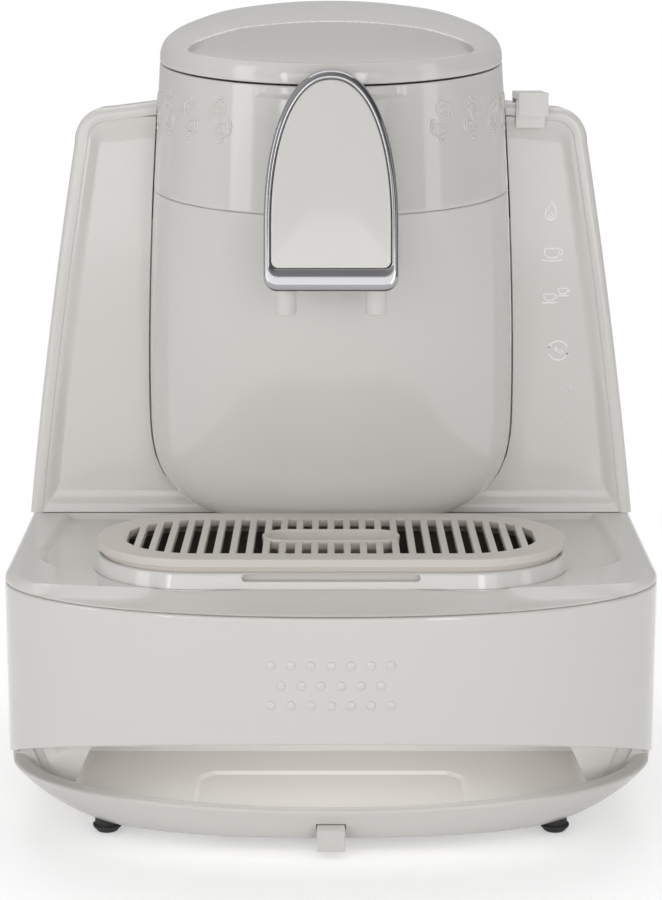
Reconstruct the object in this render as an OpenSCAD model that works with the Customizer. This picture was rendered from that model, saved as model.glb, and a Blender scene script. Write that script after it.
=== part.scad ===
// Electric Turkish coffee maker with a tall brewing head, a broad back shield and a cup base.
// Millimetres, +Z up, +Y to the back, +X to the right as seen from the front.
// The origin is on the table, under the middle of the machine.

/* [Overall] */
// Width over the base, side to side
machine_w = 270; // [225:1:330]
// Depth, drawer front to back cover
machine_d = 265; // [235:1:320]
// Height to the top of the lid
machine_h = 332; // [300:1:400]

/* [Base] */
// Height of the deck that the cups stand over
deck_z = 110; // [105:1:135]
// Thickness of the deck's edge, down to the seam above the drawer front
deck_edge = 5; // [4:0.5:8]
// Lower edge of the drawer front at its middle
drawer_low_z = 55; // [50:1:60]
// Depth of the curve across the front
front_bow = 66; // [50:1:80]
// How far the lower hull stands back from the drawer front
lip_setback = 33; // [26:1:40]
// Top of the hull's front lip
lip_z = 16; // [14:1:20]
// Height of the hull's widest line
bilge_z = 29.5; // [26:0.5:36]
// Underside of the hull above the table
hull_z = 4; // [3:0.5:6]
// Wall thickness of the moulded housings
wall = 2.6; // [2:0.1:3.2]
// Radius of a rubber foot
foot_r = 5; // [4:0.5:7]

/* [Drip tray] */
// Distance from the drawer front to the tray's centre
tray_setback = 65; // [60:1:75]
// Half length of the tray's straight part
tray_half = 52.5; // [40:0.5:60]
// End radius of the tray
tray_r = 41; // [38:0.5:43]
// Height of the tray's top above the deck
tray_rise = 11.4; // [10:0.2:16]
// Width of a bar of the grill
bar_w = 2.8; // [2:0.1:4]
// Width of a slot of the grill
slot_w = 3.55; // [3:0.05:5]
// Number of slots
slots = 26; // [20:1:28]
// Width of the rim round the slots
grill_rim = 10.3; // [8:0.1:12]

/* [Tower] */
// Distance from the drawer front to the tower's axis and the shield's face
wing_setback = 162.5; // [155:0.5:185]
// Radius of the head at the lid seam
head_top_r = 72.8; // [68:0.2:76]
// Radius of the head at the seam above the column
head_low_r = 76.2; // [72:0.2:80]
// Height of the lid above its seam
lid_rise = 25; // [22:0.5:30]
// Height of the head band
band_h = 53.4; // [48:0.2:60]
// Forward tilt of the lid seam
lid_tilt = 7; // [5:0.5:8]
// Forward tilt of the seam above the column
mid_tilt = 5; // [3:0.5:6]
// Greatest half width of the column
column_r = 79; // [76:0.5:82]

/* [Nose] */
// Width of the nose
nose_w = 52.2; // [46:0.2:60]
// Height of the nose
nose_h = 84; // [76:1:90]
// How far the nose stands in front of the tower's axis
nose_reach = 112.5; // [106:0.5:118]
// Distance between the two spouts
spout_gap = 35.2; // [28:0.2:38]
// Outer radius of a spout
spout_r = 4.1; // [3.5:0.1:5]
// Length of a spout below the nose
spout_drop = 10.6; // [8:0.2:14]

/* [Shield] */
// Thickness of the shield, front to back
wing_t = 20; // [16:1:24]
// Width of the shield's border round the fascias
border = 8; // [6:0.5:10]
// Depth of the drop from the machine's top to the shield's shoulder
shoulder_drop = 45; // [40:1:50]

/* [Water tank] */
// Wall of the water tank
tank_wall = 2; // [1.6:0.1:2.6]
// Gap between the tank and its bay
tank_gap = 1; // [0.6:0.1:1.6]

/* [Brewing pot] */
// Outer radius of the pot
pot_r = 46; // [42:0.5:50]
// Depth of the pot
pot_h = 58; // [50:1:60]
// Thickness of the pot's steel
pot_wall = 1; // [0.8:0.1:1.5]
// Travel of the outlet valve
valve_travel = 10; // [8:1:12]

/* [Hidden] */

$fn = 96;
eps = 0.01;
gap = 0.3;              // between pieces that move past each other
far = 400;              // larger than the machine, for half spaces
cream = [0.80, 0.785, 0.76];
cream_dark = [0.70, 0.685, 0.66];
steel = [0.78, 0.78, 0.78];
rubber = [0.06, 0.06, 0.06];

bump_rise = 0.5;                        // grip dots stand this proud of the drawer
hw = machine_w / 2;
front_y = -machine_d / 2 + bump_rise;
rear_y = machine_d / 2;
bow_y = front_y + front_bow;            // where the front curve meets the sides
bow_n = 2.15;                           // squareness of the front curve
rear_corner = 34;
side_flare = 4.5;                       // the sides spread this much to the back

tower_y = front_y + wing_setback;
lid_z = machine_h - lid_rise;
mid_z = lid_z - band_h;
drawer_seam_z = deck_z - deck_edge;
tray_y = front_y + tray_setback;
tray_top = deck_z + tray_rise;
nose_low = lid_z - 2 - nose_h;

// ---------- helpers ----------

// Half of a superellipse across the front, from left to right
function bow(a, fy, sy, n = bow_n) = [
  for (t = [-90:7.5:90])
    [a * sign(t) * pow(abs(sin(t)), 2 / n), sy - (sy - fy) * pow(cos(t), 2 / n)]
];

// Depth of that curve at one place across the front
function bow_at(x, a, fy, sy, n = bow_n) =
  sy - (sy - fy) * pow(1 - pow(abs(x) / a, n), 1 / n);

// Rounded corner at the back; side is 1 for right and -1 for left
function rear_arc(a, ry, r, side) = [
  for (k = [0:3])
    let (t = side > 0 ? 30 * k : 90 - 30 * k)
    [side * (a - r + r * cos(t)), ry - r + r * sin(t)]
];

// Plan of the housing: bowed front, straight flared sides, rounded back corners
function plan(a, fy, sy, ry, rc, flare = side_flare) = concat(
  bow(a - flare, fy, sy), rear_arc(a, ry, rc, 1), rear_arc(a, ry, rc, -1));

// Solid through a stack of rings that have equally many points
module loft(rings) {
  n = len(rings[0]);
  m = len(rings);
  points = [for (r = rings) for (p = r) p];
  polyhedron(points, concat(
    [[for (i = [0:n - 1]) i]],
    [for (j = [0:m - 2]) for (i = [0:n - 1])
      let (k = (i + 1) % n) [j * n + k, j * n + i, (j + 1) * n + i]],
    [for (j = [0:m - 2]) for (i = [0:n - 1])
      let (k = (i + 1) % n) [j * n + k, (j + 1) * n + i, (j + 1) * n + k]],
    [[for (i = [n - 1:-1:0]) (m - 1) * n + i]]));
}

function at_z(ring, z) = [for (p = ring) [p[0], p[1], z]];

// Tube of radius r along a list of points, with its sides kept upright to the path
module tube(path, r, sides = 8) {
  n = len(path);
  function along(i) = path[min(i + 1, n - 1)] - path[max(i - 1, 0)];
  function unit(v) = v / norm(v);
  function across(v) =
    let (c = cross(v, abs(v[2]) < 0.9 * norm(v) ? [0, 0, 1] : [1, 0, 0])) unit(c);
  loft([for (i = [0:n - 1])
    let (d = unit(along(i)), u = across(d), w = cross(d, u))
    [for (k = [0:sides - 1])
      path[i] + r * (cos(360 * k / sides) * u + sin(360 * k / sides) * w)]]);
}

// Smooth curve through chosen points
function curve(p, steps = 6) = concat(
  [for (i = [0:len(p) - 2]) for (s = [0:steps - 1])
    let (t = s / steps, a = p[max(i - 1, 0)], b = p[i], c = p[i + 1],
      d = p[min(i + 2, len(p) - 1)])
    0.5 * (2 * b + (c - a) * t + (2 * a - 5 * b + 4 * c - d) * t * t
      + (3 * b - a - 3 * c + d) * t * t * t)],
  [p[len(p) - 1]]);

module stadium(half, r) {
  square([2 * half, 2 * r], center = true);
  for (s = [-1, 1]) translate([s * half, 0]) circle(r);
}

module box(x0, x1, y0, y1, z0, z1) {
  translate([x0, y0, z0]) cube([x1 - x0, y1 - y0, z1 - z0]);
}

// Cylinder along X or Y from a start point
module rod_x(x0, x1, y, z, r) {
  translate([x0, y, z]) rotate([0, 90, 0]) cylinder(r = r, h = x1 - x0);
}
module rod_y(x, y0, y1, z, r) {
  translate([x, y1, z]) rotate([90, 0, 0]) cylinder(r = r, h = y1 - y0);
}

// Extrusion of a side view (y, z points) across the width
module side_prism(points, half) {
  translate([-half, 0, 0]) rotate([90, 0, 90]) linear_extrude(2 * half) polygon(points);
}

// Extrusion of a front view (x, z points) from y0 to y1
module front_prism(y0, y1) {
  translate([0, y1, 0]) rotate([90, 0, 0]) linear_extrude(y1 - y0) children();
}

// The lid's own frame: origin on the tower's axis in the lid seam
module tilted() {
  translate([0, tower_y, lid_z]) rotate([lid_tilt, 0, 0]) children();
}
module above_seam(z, tilt) {
  translate([0, tower_y, z]) rotate([tilt, 0, 0])
    translate([-far / 2, -far / 2, 0]) cube(far);
}
module below_seam(z, tilt) {
  translate([0, tower_y, z]) rotate([tilt, 0, 0])
    translate([-far / 2, -far / 2, -far]) cube(far);
}

// ---------- base ----------

lip_y = front_y + lip_setback;
bilge_n = 1.35;                         // squareness of the hull's bilge
hull_flat = 0.72;                       // share of the width that is flat underneath
hull_levels = [0, 0.04, 0.12, 0.25, 0.42, 0.68, 1];
bilge_h = bilge_z - hull_z;
hull_round = 10.7;                      // how far the ends round under
function swell(v) =
  hull_flat + (1 - hull_flat) * pow(1 - pow(1 - v, bilge_n), 1 / bilge_n);

function hull_ring(v, inset) =
  let (k = swell(v), back = hull_round * (1 - k))
  at_z(plan(hw * k - inset, lip_y + back + inset, bow_y + inset / 2,
    rear_y - back - inset, max(rear_corner * k - inset, 6), side_flare * k),
    hull_z + bilge_h * v + (v < 1 ? inset * (1 - v) : 0));

module tub_form(inset, top) {
  loft(concat([for (v = hull_levels) hull_ring(v, inset)],
    [at_z(plan(hw - inset, lip_y + inset, bow_y + inset / 2, rear_y - inset,
      rear_corner - inset), top)]));
}

foot_x = 91;
foot_ys = [tower_y - 104, rear_y - 36];
foot_top = 10.4;                        // top of the hole that holds a foot
module at_feet() {
  for (x = [-foot_x, foot_x], y = foot_ys) translate([x, y, 0]) children();
}

drawer_side_y = bow_y + 3;              // where the drawer front ends at the sides
mouth_slope = (drawer_low_z - bilge_z) / (drawer_side_y - front_y);
cover_w = 46;                           // half width of the underside cover
cover_d = [lip_y + 14, rear_y - 40];
cover_t = 2;
latch_w = 5.6;                          // half width of the latch tab
gland_x = -88;
gland_z = 46;
gland_r = 6.5;
switch_x = -88;
switch_z = 76;
switch_w = 10.5;
switch_h = 7.5;

// Everything in front of the sides and above the hull's sloping rim
module mouth_cut() {
  side_prism([[drawer_side_y, bilge_z], [lip_y, lip_z], [front_y - 5, lip_z - 12],
    [front_y - 5, deck_z + 5], [drawer_side_y, deck_z + 5]], hw + 5);
}

module base_tub() {
  color(cream) difference() {
    union() {
      difference() {
        tub_form(0, drawer_seam_z);
        tub_form(wall, drawer_seam_z + 1);
      }
      at_feet() translate([0, 0, foot_top - 1.4]) cylinder(r = foot_r + 3, h = 2.4);
      intersection() {
        box(-cover_w - 6, cover_w + 6, cover_d[0] - 6, cover_d[1] + 6, hull_z + 0.5,
          hull_z + 6);
        tub_form(wall / 2, drawer_seam_z);
      }
    }
    mouth_cut();
    at_feet() translate([0, 0, -1]) cylinder(r = foot_r + 0.05, h = foot_top + 1);
    box(-cover_w, cover_w, cover_d[0], cover_d[1], -1, hull_z + cover_t + 0.5);
    box(-cover_w + 4, cover_w - 4, cover_d[0] + 4, cover_d[1] - 4, 0, hull_z + 20);
    box(-latch_w - gap, latch_w + gap, lip_y - 5, lip_y + 12, latch_z - gap,
      latch_z + latch_t + gap);
    rod_y(gland_x, rear_y - 10, rear_y + 1, gland_z, gland_r);
    box(switch_x - switch_w, switch_x + switch_w, rear_y - 10, rear_y + 1,
      switch_z - switch_h, switch_z + switch_h);
    for (x = tub_fix_x) screw_hole(x, drawer_seam_z - 8);
    for (x = cover_screw_x, y = cover_screw_y)
      translate([x, y, 0]) {
        cylinder(r = 1.5, h = hull_z + 8);
        cylinder(r = screw_head_r + 0.2, h = hull_z + 0.5);
      }
  }
}

cover_screw_x = [-cover_w + 2, cover_w - 2];
screw_head_r = 2.6;
cover_screw_y = [cover_d[0] + 12, cover_d[1] - 12];

// Flat service cover in the hull's underside, with vent slots
module base_cover() {
  color(cream_dark) difference() {
    box(-cover_w + 0.2, cover_w - 0.2, cover_d[0] + 0.2, cover_d[1] - 0.2,
      hull_z + 0.5, hull_z + 0.5 + cover_t);
    for (k = [-6:6]) box(k * 9 - 1.5, k * 9 + 1.5, tower_y, tower_y + 40, 0, far);
    for (x = cover_screw_x, y = cover_screw_y)
      translate([x, y, 0]) cylinder(r = 1.6, h = far);
  }
}

module cover_screws() {
  color(steel) for (x = cover_screw_x, y = cover_screw_y) translate([x, y, 0]) {
    translate([0, 0, hull_z - 1.3]) cylinder(r = screw_head_r, h = 1.8);
    translate([0, 0, hull_z + 0.4]) cylinder(r = 1.45, h = 6);
  }
}

// Sprung tongue that holds the service cover, with its finger tab in front of the lip
latch_z = hull_z + 4.2;
latch_t = 2.2;
module base_latch() {
  color(cream) {
    box(-latch_w, latch_w, lip_y - 1.5, lip_y + 11, latch_z, latch_z + latch_t);
    box(-latch_w, latch_w, lip_y - 4.8, lip_y - 1.5, 1.9, latch_z + latch_t);
  }
}

module feet() {
  color(rubber) at_feet() {
    cylinder(r1 = foot_r - 1, r2 = foot_r + 0.9, h = 2);
    translate([0, 0, 2]) cylinder(r = foot_r + 0.9, h = 1);
    cylinder(r = foot_r, h = foot_top - 0.2);
  }
}

// Deck: rolled plate with a saucer round the tray and a pocket under it
crease_y = front_y + 21;                // where the deck starts to slope to the front
well_depth = 2.4;
well_w = hw - 15;                       // half width of the saucer
well_n = 3.7;                           // squareness of its front edge
pocket_r = tray_r - 2;
pocket_z = deck_z - 11;                 // floor of the pocket that the tray hangs in
module deck_outline() {
  polygon(plan(hw, front_y, bow_y, rear_y, rear_corner));
}
module deck_plate() {
  color(cream) difference() {
    union() {
      translate([0, 0, drawer_seam_z]) linear_extrude(deck_z - drawer_seam_z)
        deck_outline();
      translate([0, tray_y, pocket_z - 1.6])
        linear_extrude(drawer_seam_z - pocket_z + 1.6 + eps)
          stadium(tray_half, pocket_r + 2);
    }
    side_prism([[crease_y, deck_z], [front_y, drawer_seam_z + 0.6],
      [front_y - 5, drawer_seam_z], [front_y - 5, deck_z + 5], [crease_y, deck_z + 5]],
      hw + 5);
    translate([0, 0, deck_z - well_depth]) linear_extrude(well_depth + 1)
      intersection() {
        polygon(concat(bow(well_w, tray_y - 18.5, tray_y + 32, well_n),
          [[well_w, tower_y + 20], [-well_w, tower_y + 20]]));
        translate([-far / 2, -far / 2]) square([far, far / 2 + tower_y - gap]);
      }
    translate([0, tray_y, deck_z - well_depth]) linear_extrude(far)
      stadium(tray_half, tray_r + tray_flare + gap);
    translate([0, tray_y, pocket_z]) linear_extrude(far) stadium(tray_half, pocket_r);
    translate([0, tray_y, 0]) cylinder(r = 9, h = far);
    // room for the column's inside, the tank's valve and the wiring
    box(-60, 60, tower_y + 4, rear_y - 12, 0, far);
    box(-hw + 20, hw - 20, tower_y + 24, rear_y - 20, 0, far);
    box(-hw + 14, hw - 14, tower_y + 40, tower_y + 60, drawer_seam_z - 1,
      drawer_seam_z + 2);
  }
}

// Open store under the drawer, lined with one moulding
store_low_w = 107;                      // half width of the store at its floor
store_top_w = 88.6;                     // and at its top
store_back = tower_y - 46;
store_floor = lip_z - 2;
store_top = drawer_low_z + 2;
module storage_liner() {
  color(cream_dark) difference() {
    intersection() {
      store_form();
      tub_form(wall + gap, drawer_seam_z);
    }
    box(-57, 57, lip_y + 8, lip_y + 58, store_floor - 1.4, store_floor + 1);
  }
}
module store_form() {
  translate([0, 0, store_floor - 2.4]) linear_extrude(2.4) polygon(concat(
    bow(store_low_w + 2, lip_y + wall + 1, bow_y),
    [[store_low_w, bow_y], [store_low_w, store_back], [-store_low_w, store_back],
      [-store_low_w, bow_y]]));
  difference() {
    front_prism(bow_y + 5, store_back + 2) store_section(2, store_floor - 2.4);
    front_prism(2 * front_y, store_back) store_section(0, store_floor);
  }
  // walls beside the mouth
  for (s = [-1, 1]) front_prism(bow_y + 5, bow_y + 7)
    polygon([[s * store_low_w, store_floor - 2], [s * hw, store_floor - 2],
      [s * hw, store_top + 2], [s * store_top_w, store_top + 2]]);
}
// Section of the store with its side walls leaning in, grown by some wall
module store_section(grow, low_z) {
  polygon([[-store_low_w - grow, low_z], [store_low_w + grow, low_z],
    [store_top_w + grow, store_top + grow], [-store_top_w - grow, store_top + grow]]);
}

// ---------- waste water drawer ----------

drawer_t = 3;
tub_w = 90;
tub_back = tower_y - 44;
tub_top = pocket_z - 1.6 - 1.4;
tub_low = store_top + 2 + 1.2;
bump_r = 1.6;
bump_pitch = 7.55;
bump_z = (drawer_seam_z + drawer_low_z) / 2 - 1.6;
module drawer_front() {
  front_outer = plan(hw, front_y, bow_y, rear_y, rear_corner);
  front_inner = plan(hw - drawer_t, front_y + drawer_t, bow_y + 1, rear_y - drawer_t,
    rear_corner - drawer_t);
  color(cream) difference() {
    union() {
      linear_extrude(drawer_seam_z - gap) difference() {
        polygon(front_outer);
        polygon(front_inner);
      }
      for (row = [-1:1], k = [-3:3]) if (row != 0 || k < 3)
        let (x = (k + (row == 0 ? 0.5 : 0)) * bump_pitch)
        translate([x, bow_at(x, hw - side_flare, front_y, bow_y) - bump_rise,
          bump_z + row * (bump_pitch + 0.2)])
          rotate([-90, 0, 0]) cylinder(r1 = 0.9, r2 = bump_r, h = bump_rise + 0.9);
    }
    side_prism([[front_y - 5, -1], [rear_y + 5, -1], [rear_y + 5, far],
      [drawer_side_y - gap, far], [drawer_side_y - gap, bilge_z + gap],
      [front_y - 5, drawer_low_z + 5 * mouth_slope]], hw + 5);
  }
}

tub_front = front_y + 14;
tub_side_y = bow_y + 6;                 // where the tub's front curve meets its sides
tub_wall = 2;
module tub_plan(inset) {
  polygon(concat(bow(tub_w - inset, tub_front + inset, tub_side_y),
    [[tub_w - inset, tub_back - inset], [inset - tub_w, tub_back - inset]]));
}
module drawer_tub() {
  color(cream_dark) {
    difference() {
      translate([0, 0, tub_low]) linear_extrude(tub_top - tub_low) tub_plan(0);
      translate([0, 0, tub_low + tub_wall]) linear_extrude(far) tub_plan(tub_wall);
    }
    // ribs that hold the front
    for (x = [-70, -35, 35, 70])
      box(x - 1.2, x + 1.2,
        bow_at(abs(x) + 1.2, hw - drawer_t - side_flare, front_y + drawer_t, bow_y + 1) + gap,
        bow_at(x, tub_w, tub_front, tub_side_y) + 1.2, tub_low + 2, tub_top - 4);
  }
}

// ---------- drip tray ----------

tray_low = pocket_z + 0.4;
tray_rim = deck_z - well_depth + 8.5;
tray_flare = 1.6;                       // how much wider the tray is at its foot
tray_foot = deck_z - well_depth + 0.1;
slot_half = 34.3;                       // half width of the overflow slot
module drip_tray() {
  color(cream) translate([0, tray_y, 0]) difference() {
    union() {
      for (s = [-1, 1]) translate([s * tray_half, 0, tray_foot])
        cylinder(r1 = tray_r + tray_flare, r2 = tray_r, h = tray_rim - tray_foot);
      side_prism([[-tray_r - tray_flare, tray_foot], [-tray_r, tray_rim],
        [tray_r, tray_rim], [tray_r + tray_flare, tray_foot]], tray_half);
      translate([0, 0, tray_low]) linear_extrude(deck_z - tray_low)
        stadium(tray_half, pocket_r - 0.5);
    }
    translate([0, 0, tray_low + 1.8]) linear_extrude(far)
      stadium(tray_half, pocket_r - 2.5);
    translate([0, 0, tray_rim - 1.4]) linear_extrude(far)
      stadium(tray_half, tray_r - 1.8);
    cylinder(r = 4, h = far);
    box(-slot_half, slot_half, -tray_r - 5, -tray_r + 6, tray_rim - 3.4, tray_rim - 0.5);
  }
}

grip_half = 17.3;
grip_r = 8.5;
grip_depth = 5;
grill_t = 3.4;
module drip_grill() {
  field = tray_r - grill_rim;
  pitch = bar_w + slot_w;
  color(cream) translate([0, tray_y, 0]) difference() {
    union() {
      translate([0, 0, tray_top - grill_t]) linear_extrude(grill_t)
        stadium(tray_half, tray_r);
      translate([0, 0, tray_rim - 1.4 + 0.1]) linear_extrude(tray_top - tray_rim)
        stadium(tray_half, tray_r - 2.1);
    }
    translate([0, 0, tray_rim - 3]) linear_extrude(tray_top - tray_rim + 3 - 2.6)
      difference() {
        stadium(tray_half, tray_r - 5);
        stadium(grip_half, grip_r + 1.5);
      }
    difference() {
      intersection() {
        linear_extrude(far) stadium(slots * pitch / 2 - field, field);
        for (k = [0:slots - 1]) translate([(k - (slots - 1) / 2) * pitch, 0, 0])
          box(-slot_w / 2, slot_w / 2, -tray_r, tray_r, 0, far);
      }
      linear_extrude(far) stadium(grip_half, grip_r + 1.6);
    }
    translate([0, 0, tray_top - grip_depth]) linear_extrude(far)
      stadium(grip_half, grip_r);
  }
}

// ---------- shield ----------

// Right-hand outline of the shield, from the deck up to the head, as [x, z]
wing_top = lid_z - 17.4;
wing_shoulder = machine_h - shoulder_drop;
wing_arc_r = 15;
function wing_x(z) =
  let (u = (z - deck_z) / (wing_shoulder - deck_z)) hw - 2 - 20 * u - 5.5 * u * u;
function wing_half(inset) =
  let (z1 = wing_shoulder - wing_arc_r, x1 = wing_x(z1) - inset)
  concat(
    [for (k = [0:8]) let (z = deck_z + (z1 - deck_z) * k / 8) [wing_x(z) - inset, z]],
    [for (t = [15:15:75]) [x1 - (wing_arc_r - inset) * (1 - cos(t)) * 0.9,
      z1 + (wing_arc_r - inset) * sin(t)]],
    [[x1 - wing_arc_r * 0.95, wing_shoulder - inset],
      [head_low_r - 1, wing_top - inset]]);
function mirrored(p) = [for (i = [len(p) - 1:-1:0]) [-p[i][0], p[i][1]]];
module wing_outline(inset) {
  polygon(concat(wing_half(inset), mirrored(wing_half(inset))));
}

wing_face = tower_y;
rim_y = wing_face - 4;                  // front of the rim round the fascias
wing_back = tower_y + wing_t;
head_cut_r = head_low_r + 0.3;
module head_room(from_z) {
  translate([0, tower_y, from_z]) cylinder(r = head_cut_r, h = far);
}

module wing_shell() {
  color(cream) difference() {
    front_prism(rim_y, wing_back) wing_outline(0);
    front_prism(rim_y - 1, wing_face) wing_outline(border);
    front_prism(wing_face + wall, far) difference() {
      wing_outline(wall);
      translate([-far / 2, deck_z - far]) square([far, far + wall]);
    }
    head_room(mid_z - 14);
    // behind the column: pipe, valve and wires
    box(-40, 40, wing_face - 1, wing_back + 1, deck_z + 14, far);
    for (p = light_points) rod_y(p[0], wing_face - 1, wing_face + 4, p[1], 1.05);
  }
}

fascia_t = 1.4;
fascia_low = deck_z + 1;
function fascia_half(side) =
  [for (p = wing_half(border + 0.2)) [side * p[0], max(p[1], fascia_low)]];
module fascia(side) {
  difference() {
    front_prism(wing_face - fascia_t, wing_face - eps) difference() {
      polygon(concat([[side * (column_r - 20), fascia_low]], fascia_half(side)));
      square([2 * column_r + 1, 3 * far], center = true);
    }
    head_room(0);
    for (p = light_points) rod_y(p[0], wing_face - 5, wing_face + 4, p[1], 1.05);
  }
}
module left_fascia() { color(cream) fascia(-1); }
module right_fascia() { color(cream) fascia(1); }

// Touch symbols and lights run down a line beside the shield's edge
function icon_x(z) = hw - 33 - 0.072 * (z - deck_z - 34);
icon_zs = [lid_z - 64, lid_z - 83, lid_z - 101, lid_z - 125];
light_zs = [icon_zs[3] - 17, icon_zs[3] - 25, icon_zs[3] - 33];
light_points = concat([for (z = light_zs) [icon_x(z), z]],
  [[icon_x(light_zs[0]) + 4.3, light_zs[0]]]);
ink_t = 0.25;

module cup(s) {
  polygon([[-3.6 * s, 2.4 * s], [3.6 * s, 2.4 * s], [2.6 * s, -1.8 * s], [-2.6 * s, -1.8 * s]]);
  translate([0, -3.1 * s]) square([9 * s, 0.7 * s], center = true);
}
module flame() {
  circle(2.1);
  polygon([[-2.1, 0], [0.4, 5.2], [2.1, 0]]);
}
module ring(r, w) {
  difference() {
    circle(r);
    circle(r - w);
  }
}
module touch_icons() {
  color("white") front_prism(wing_face - fascia_t - ink_t, wing_face - fascia_t) {
    translate([icon_x(icon_zs[0]), icon_zs[0] - 1]) flame();
    translate([icon_x(icon_zs[1]), icon_zs[1]]) cup(1);
    translate([icon_x(icon_zs[2]) - 2.2, icon_zs[2] - 1]) cup(0.7);
    translate([icon_x(icon_zs[2]) + 3.6, icon_zs[2] + 2.2]) cup(0.55);
    translate([icon_x(icon_zs[3]), icon_zs[3]]) {
      ring(4.2, 0.6);
      circle(1.2);
    }
  }
}
module status_lights() {
  color([0.75, 0.75, 0.75]) for (p = light_points)
    rod_y(p[0], wing_face - fascia_t, wing_face + wall + 1, p[1], 1);
}
module touch_board() {
  x = icon_x(icon_zs[1]);
  color("green") difference() {
    box(x - 9, x + 11, wing_face + wall + 1.2, wing_face + wall + 2.8, light_zs[2] - 6,
      icon_zs[0] + 8);
    for (z = [light_zs[2] - 3, icon_zs[0] + 5]) rod_y(x, wing_face, wing_back, z, 1.2);
  }
}

// ---------- tower ----------

column_round_z = deck_z + 55;           // below this the column rounds in
column_tip = deck_z - 2;
column_n = 3.2;
function column_a(z) = z > column_round_z
  ? head_low_r + (column_r - head_low_r)
    * sin(90 * (mid_z - z) / (mid_z - column_round_z))
  : column_r * pow(1 - pow((column_round_z - z) / (column_round_z - column_tip),
    column_n), 1 / column_n);
column_depth = [42, 0.364, (0.364 * (mid_z - deck_z) - head_low_r + 42)
  / pow(mid_z - deck_z, 2)];
function column_b(z) = let (h = z - deck_z)
  column_depth[0] + column_depth[1] * h - column_depth[2] * h * h;
function column_levels() = [for (u = [0, 0.02, 0.05, 0.1, 0.18, 0.28, 0.4, 0.55, 0.7,
  0.85, 1]) deck_z + gap + u * (mid_z - deck_z - gap)];
function column_ring(z, inset) =
  let (lean = tan(mid_tilt) * (z - deck_z) / (mid_z - deck_z),
    a = column_a(z) - inset, b = column_b(z) - inset)
  [for (t = [180:7.5:360]) let (y = b * sin(t)) [a * cos(t), tower_y + y, z + lean * y]];

module column_shell() {
  outer = [for (z = column_levels()) column_ring(z, 0)];
  inner = [for (z = column_levels()) column_ring(z, wall)];
  last = len(outer) - 1;
  color(cream) difference() {
    loft([for (j = [0:last]) concat(
      outer[j], [for (i = [len(inner[j]) - 1:-1:0]) inner[j][i]])]);
    rod_y(0, tower_y - 2 * head_low_r, tower_y, pipe_z, pipe_r + 0.4);
    translate([0, tower_y - gap, 0]) box(-far, far, 0, far, 0, 2 * far);
  }
}

band_wall = 2.8;
function head_r(z) = head_low_r - (head_low_r - head_top_r) * (z - mid_z) / band_h;
ear_x = 15;
hinge_y = head_top_r + 7;               // in the lid's frame
hinge_h = 3.5;
hinge_r = 2;
hinge_boss = 4.5;
module band_cone(inset) {
  z0 = mid_z - 12;
  z1 = lid_z + 14;
  translate([0, tower_y, 0]) rotate_extrude() polygon([[0, z0], [head_r(z0) - inset, z0],
    [head_r(z1) - inset, z1], [0, z1]]);
}
module head_band() {
  color(cream) difference() {
    union() {
      difference() {
        band_cone(0);
        band_cone(band_wall);
        above_seam(lid_z, lid_tilt);
      }
      // ledge that carries the head's deck
      tilted() translate([0, 0, -9]) difference() {
        cylinder(r = head_top_r - 1.5, h = 2.5);
        cylinder(r = head_top_r - 6, h = 6, center = true);
      }
      tilted() for (s = [-1, 1]) translate([s * ear_x, 0, 0]) ear(4);
    }
    below_seam(mid_z, mid_tilt);
    tilted() translate([-25, hinge_y, hinge_h]) rotate([0, 90, 0])
      cylinder(r = hinge_r, h = 50);
  }
}
// Hinge ear of width w, standing on the back of the band
module ear(w) {
  rotate([90, 0, 90]) translate([0, 0, -w / 2]) linear_extrude(w) union() {
    translate([hinge_y, hinge_h]) circle(hinge_boss);
    polygon([[head_top_r - 3, -16], [hinge_y + hinge_boss, hinge_h],
      [hinge_y - hinge_boss, hinge_h], [head_top_r - 3, -3]]);
  }
}

deck_ring_h = -6.4;                     // top ring of the head, below the lid seam
module head_deck() {
  color(cream_dark) tilted() difference() {
    translate([0, 0, deck_ring_h]) cylinder(r = head_top_r - band_wall - 0.9, h = 2);
    translate([0, 0, deck_ring_h - 1]) cylinder(r = pot_r + 0.6, h = 5);
  }
}

pot_top = deck_ring_h + 2;
drain_y = -26;                          // outlet hole of the pot, in the lid's frame
module brew_pot() {
  color(steel) tilted() difference() {
    translate([0, 0, pot_top]) rotate_extrude() polygon([
      [0, -pot_h], [pot_r - 5, -pot_h], [pot_r, -pot_h + 5], [pot_r, 0],
      [pot_r + 5, 0], [pot_r + 5, pot_wall], [pot_r - pot_wall, pot_wall],
      [pot_r - pot_wall, -pot_h + 5.4], [pot_r - 5.4, -pot_h + pot_wall],
      [0, -pot_h + pot_wall]]);
    translate([0, drain_y, pot_top - pot_h - 1]) cylinder(r = 4, h = 4);
    feed_bore(2.05);
  }
}
// Bore of the water feed, radial through the pot's wall
module feed_bore(r) {
  rotate([0, 0, nozzle_angle]) translate([0, nozzle_r + r, nozzle_h]) rotate([90, 0, 0])
    cylinder(r = r, h = nozzle_r + r - pot_r + 6);
}
module torus(r, t) {
  rotate_extrude() translate([r, 0]) circle(t, $fn = 24);
}
module pot_gasket() {
  color([0.9, 0.9, 0.88]) tilted() translate([0, 0, pot_top + pot_wall + 1.2])
    torus(pot_r + 2.6, 1.2);
}
heater_t = 7;
module heater_ring() {
  color([0.72, 0.73, 0.75]) tilted() difference() {
    translate([0, 0, pot_top - pot_h - heater_t - 0.1]) cylinder(r = pot_r - 6,
      h = heater_t);
    translate([0, drain_y, -far / 2]) cylinder(r = 10.5, h = far);
    translate([0, 12, -far / 2]) cylinder(r = 4.2, h = far);
  }
}
module temperature_probe() {
  color(steel) tilted() translate([0, 12, pot_top - pot_h - 18]) {
    cylinder(r = 4, h = 17.8);
    cylinder(r = 5.5, h = 5);
  }
}

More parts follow.
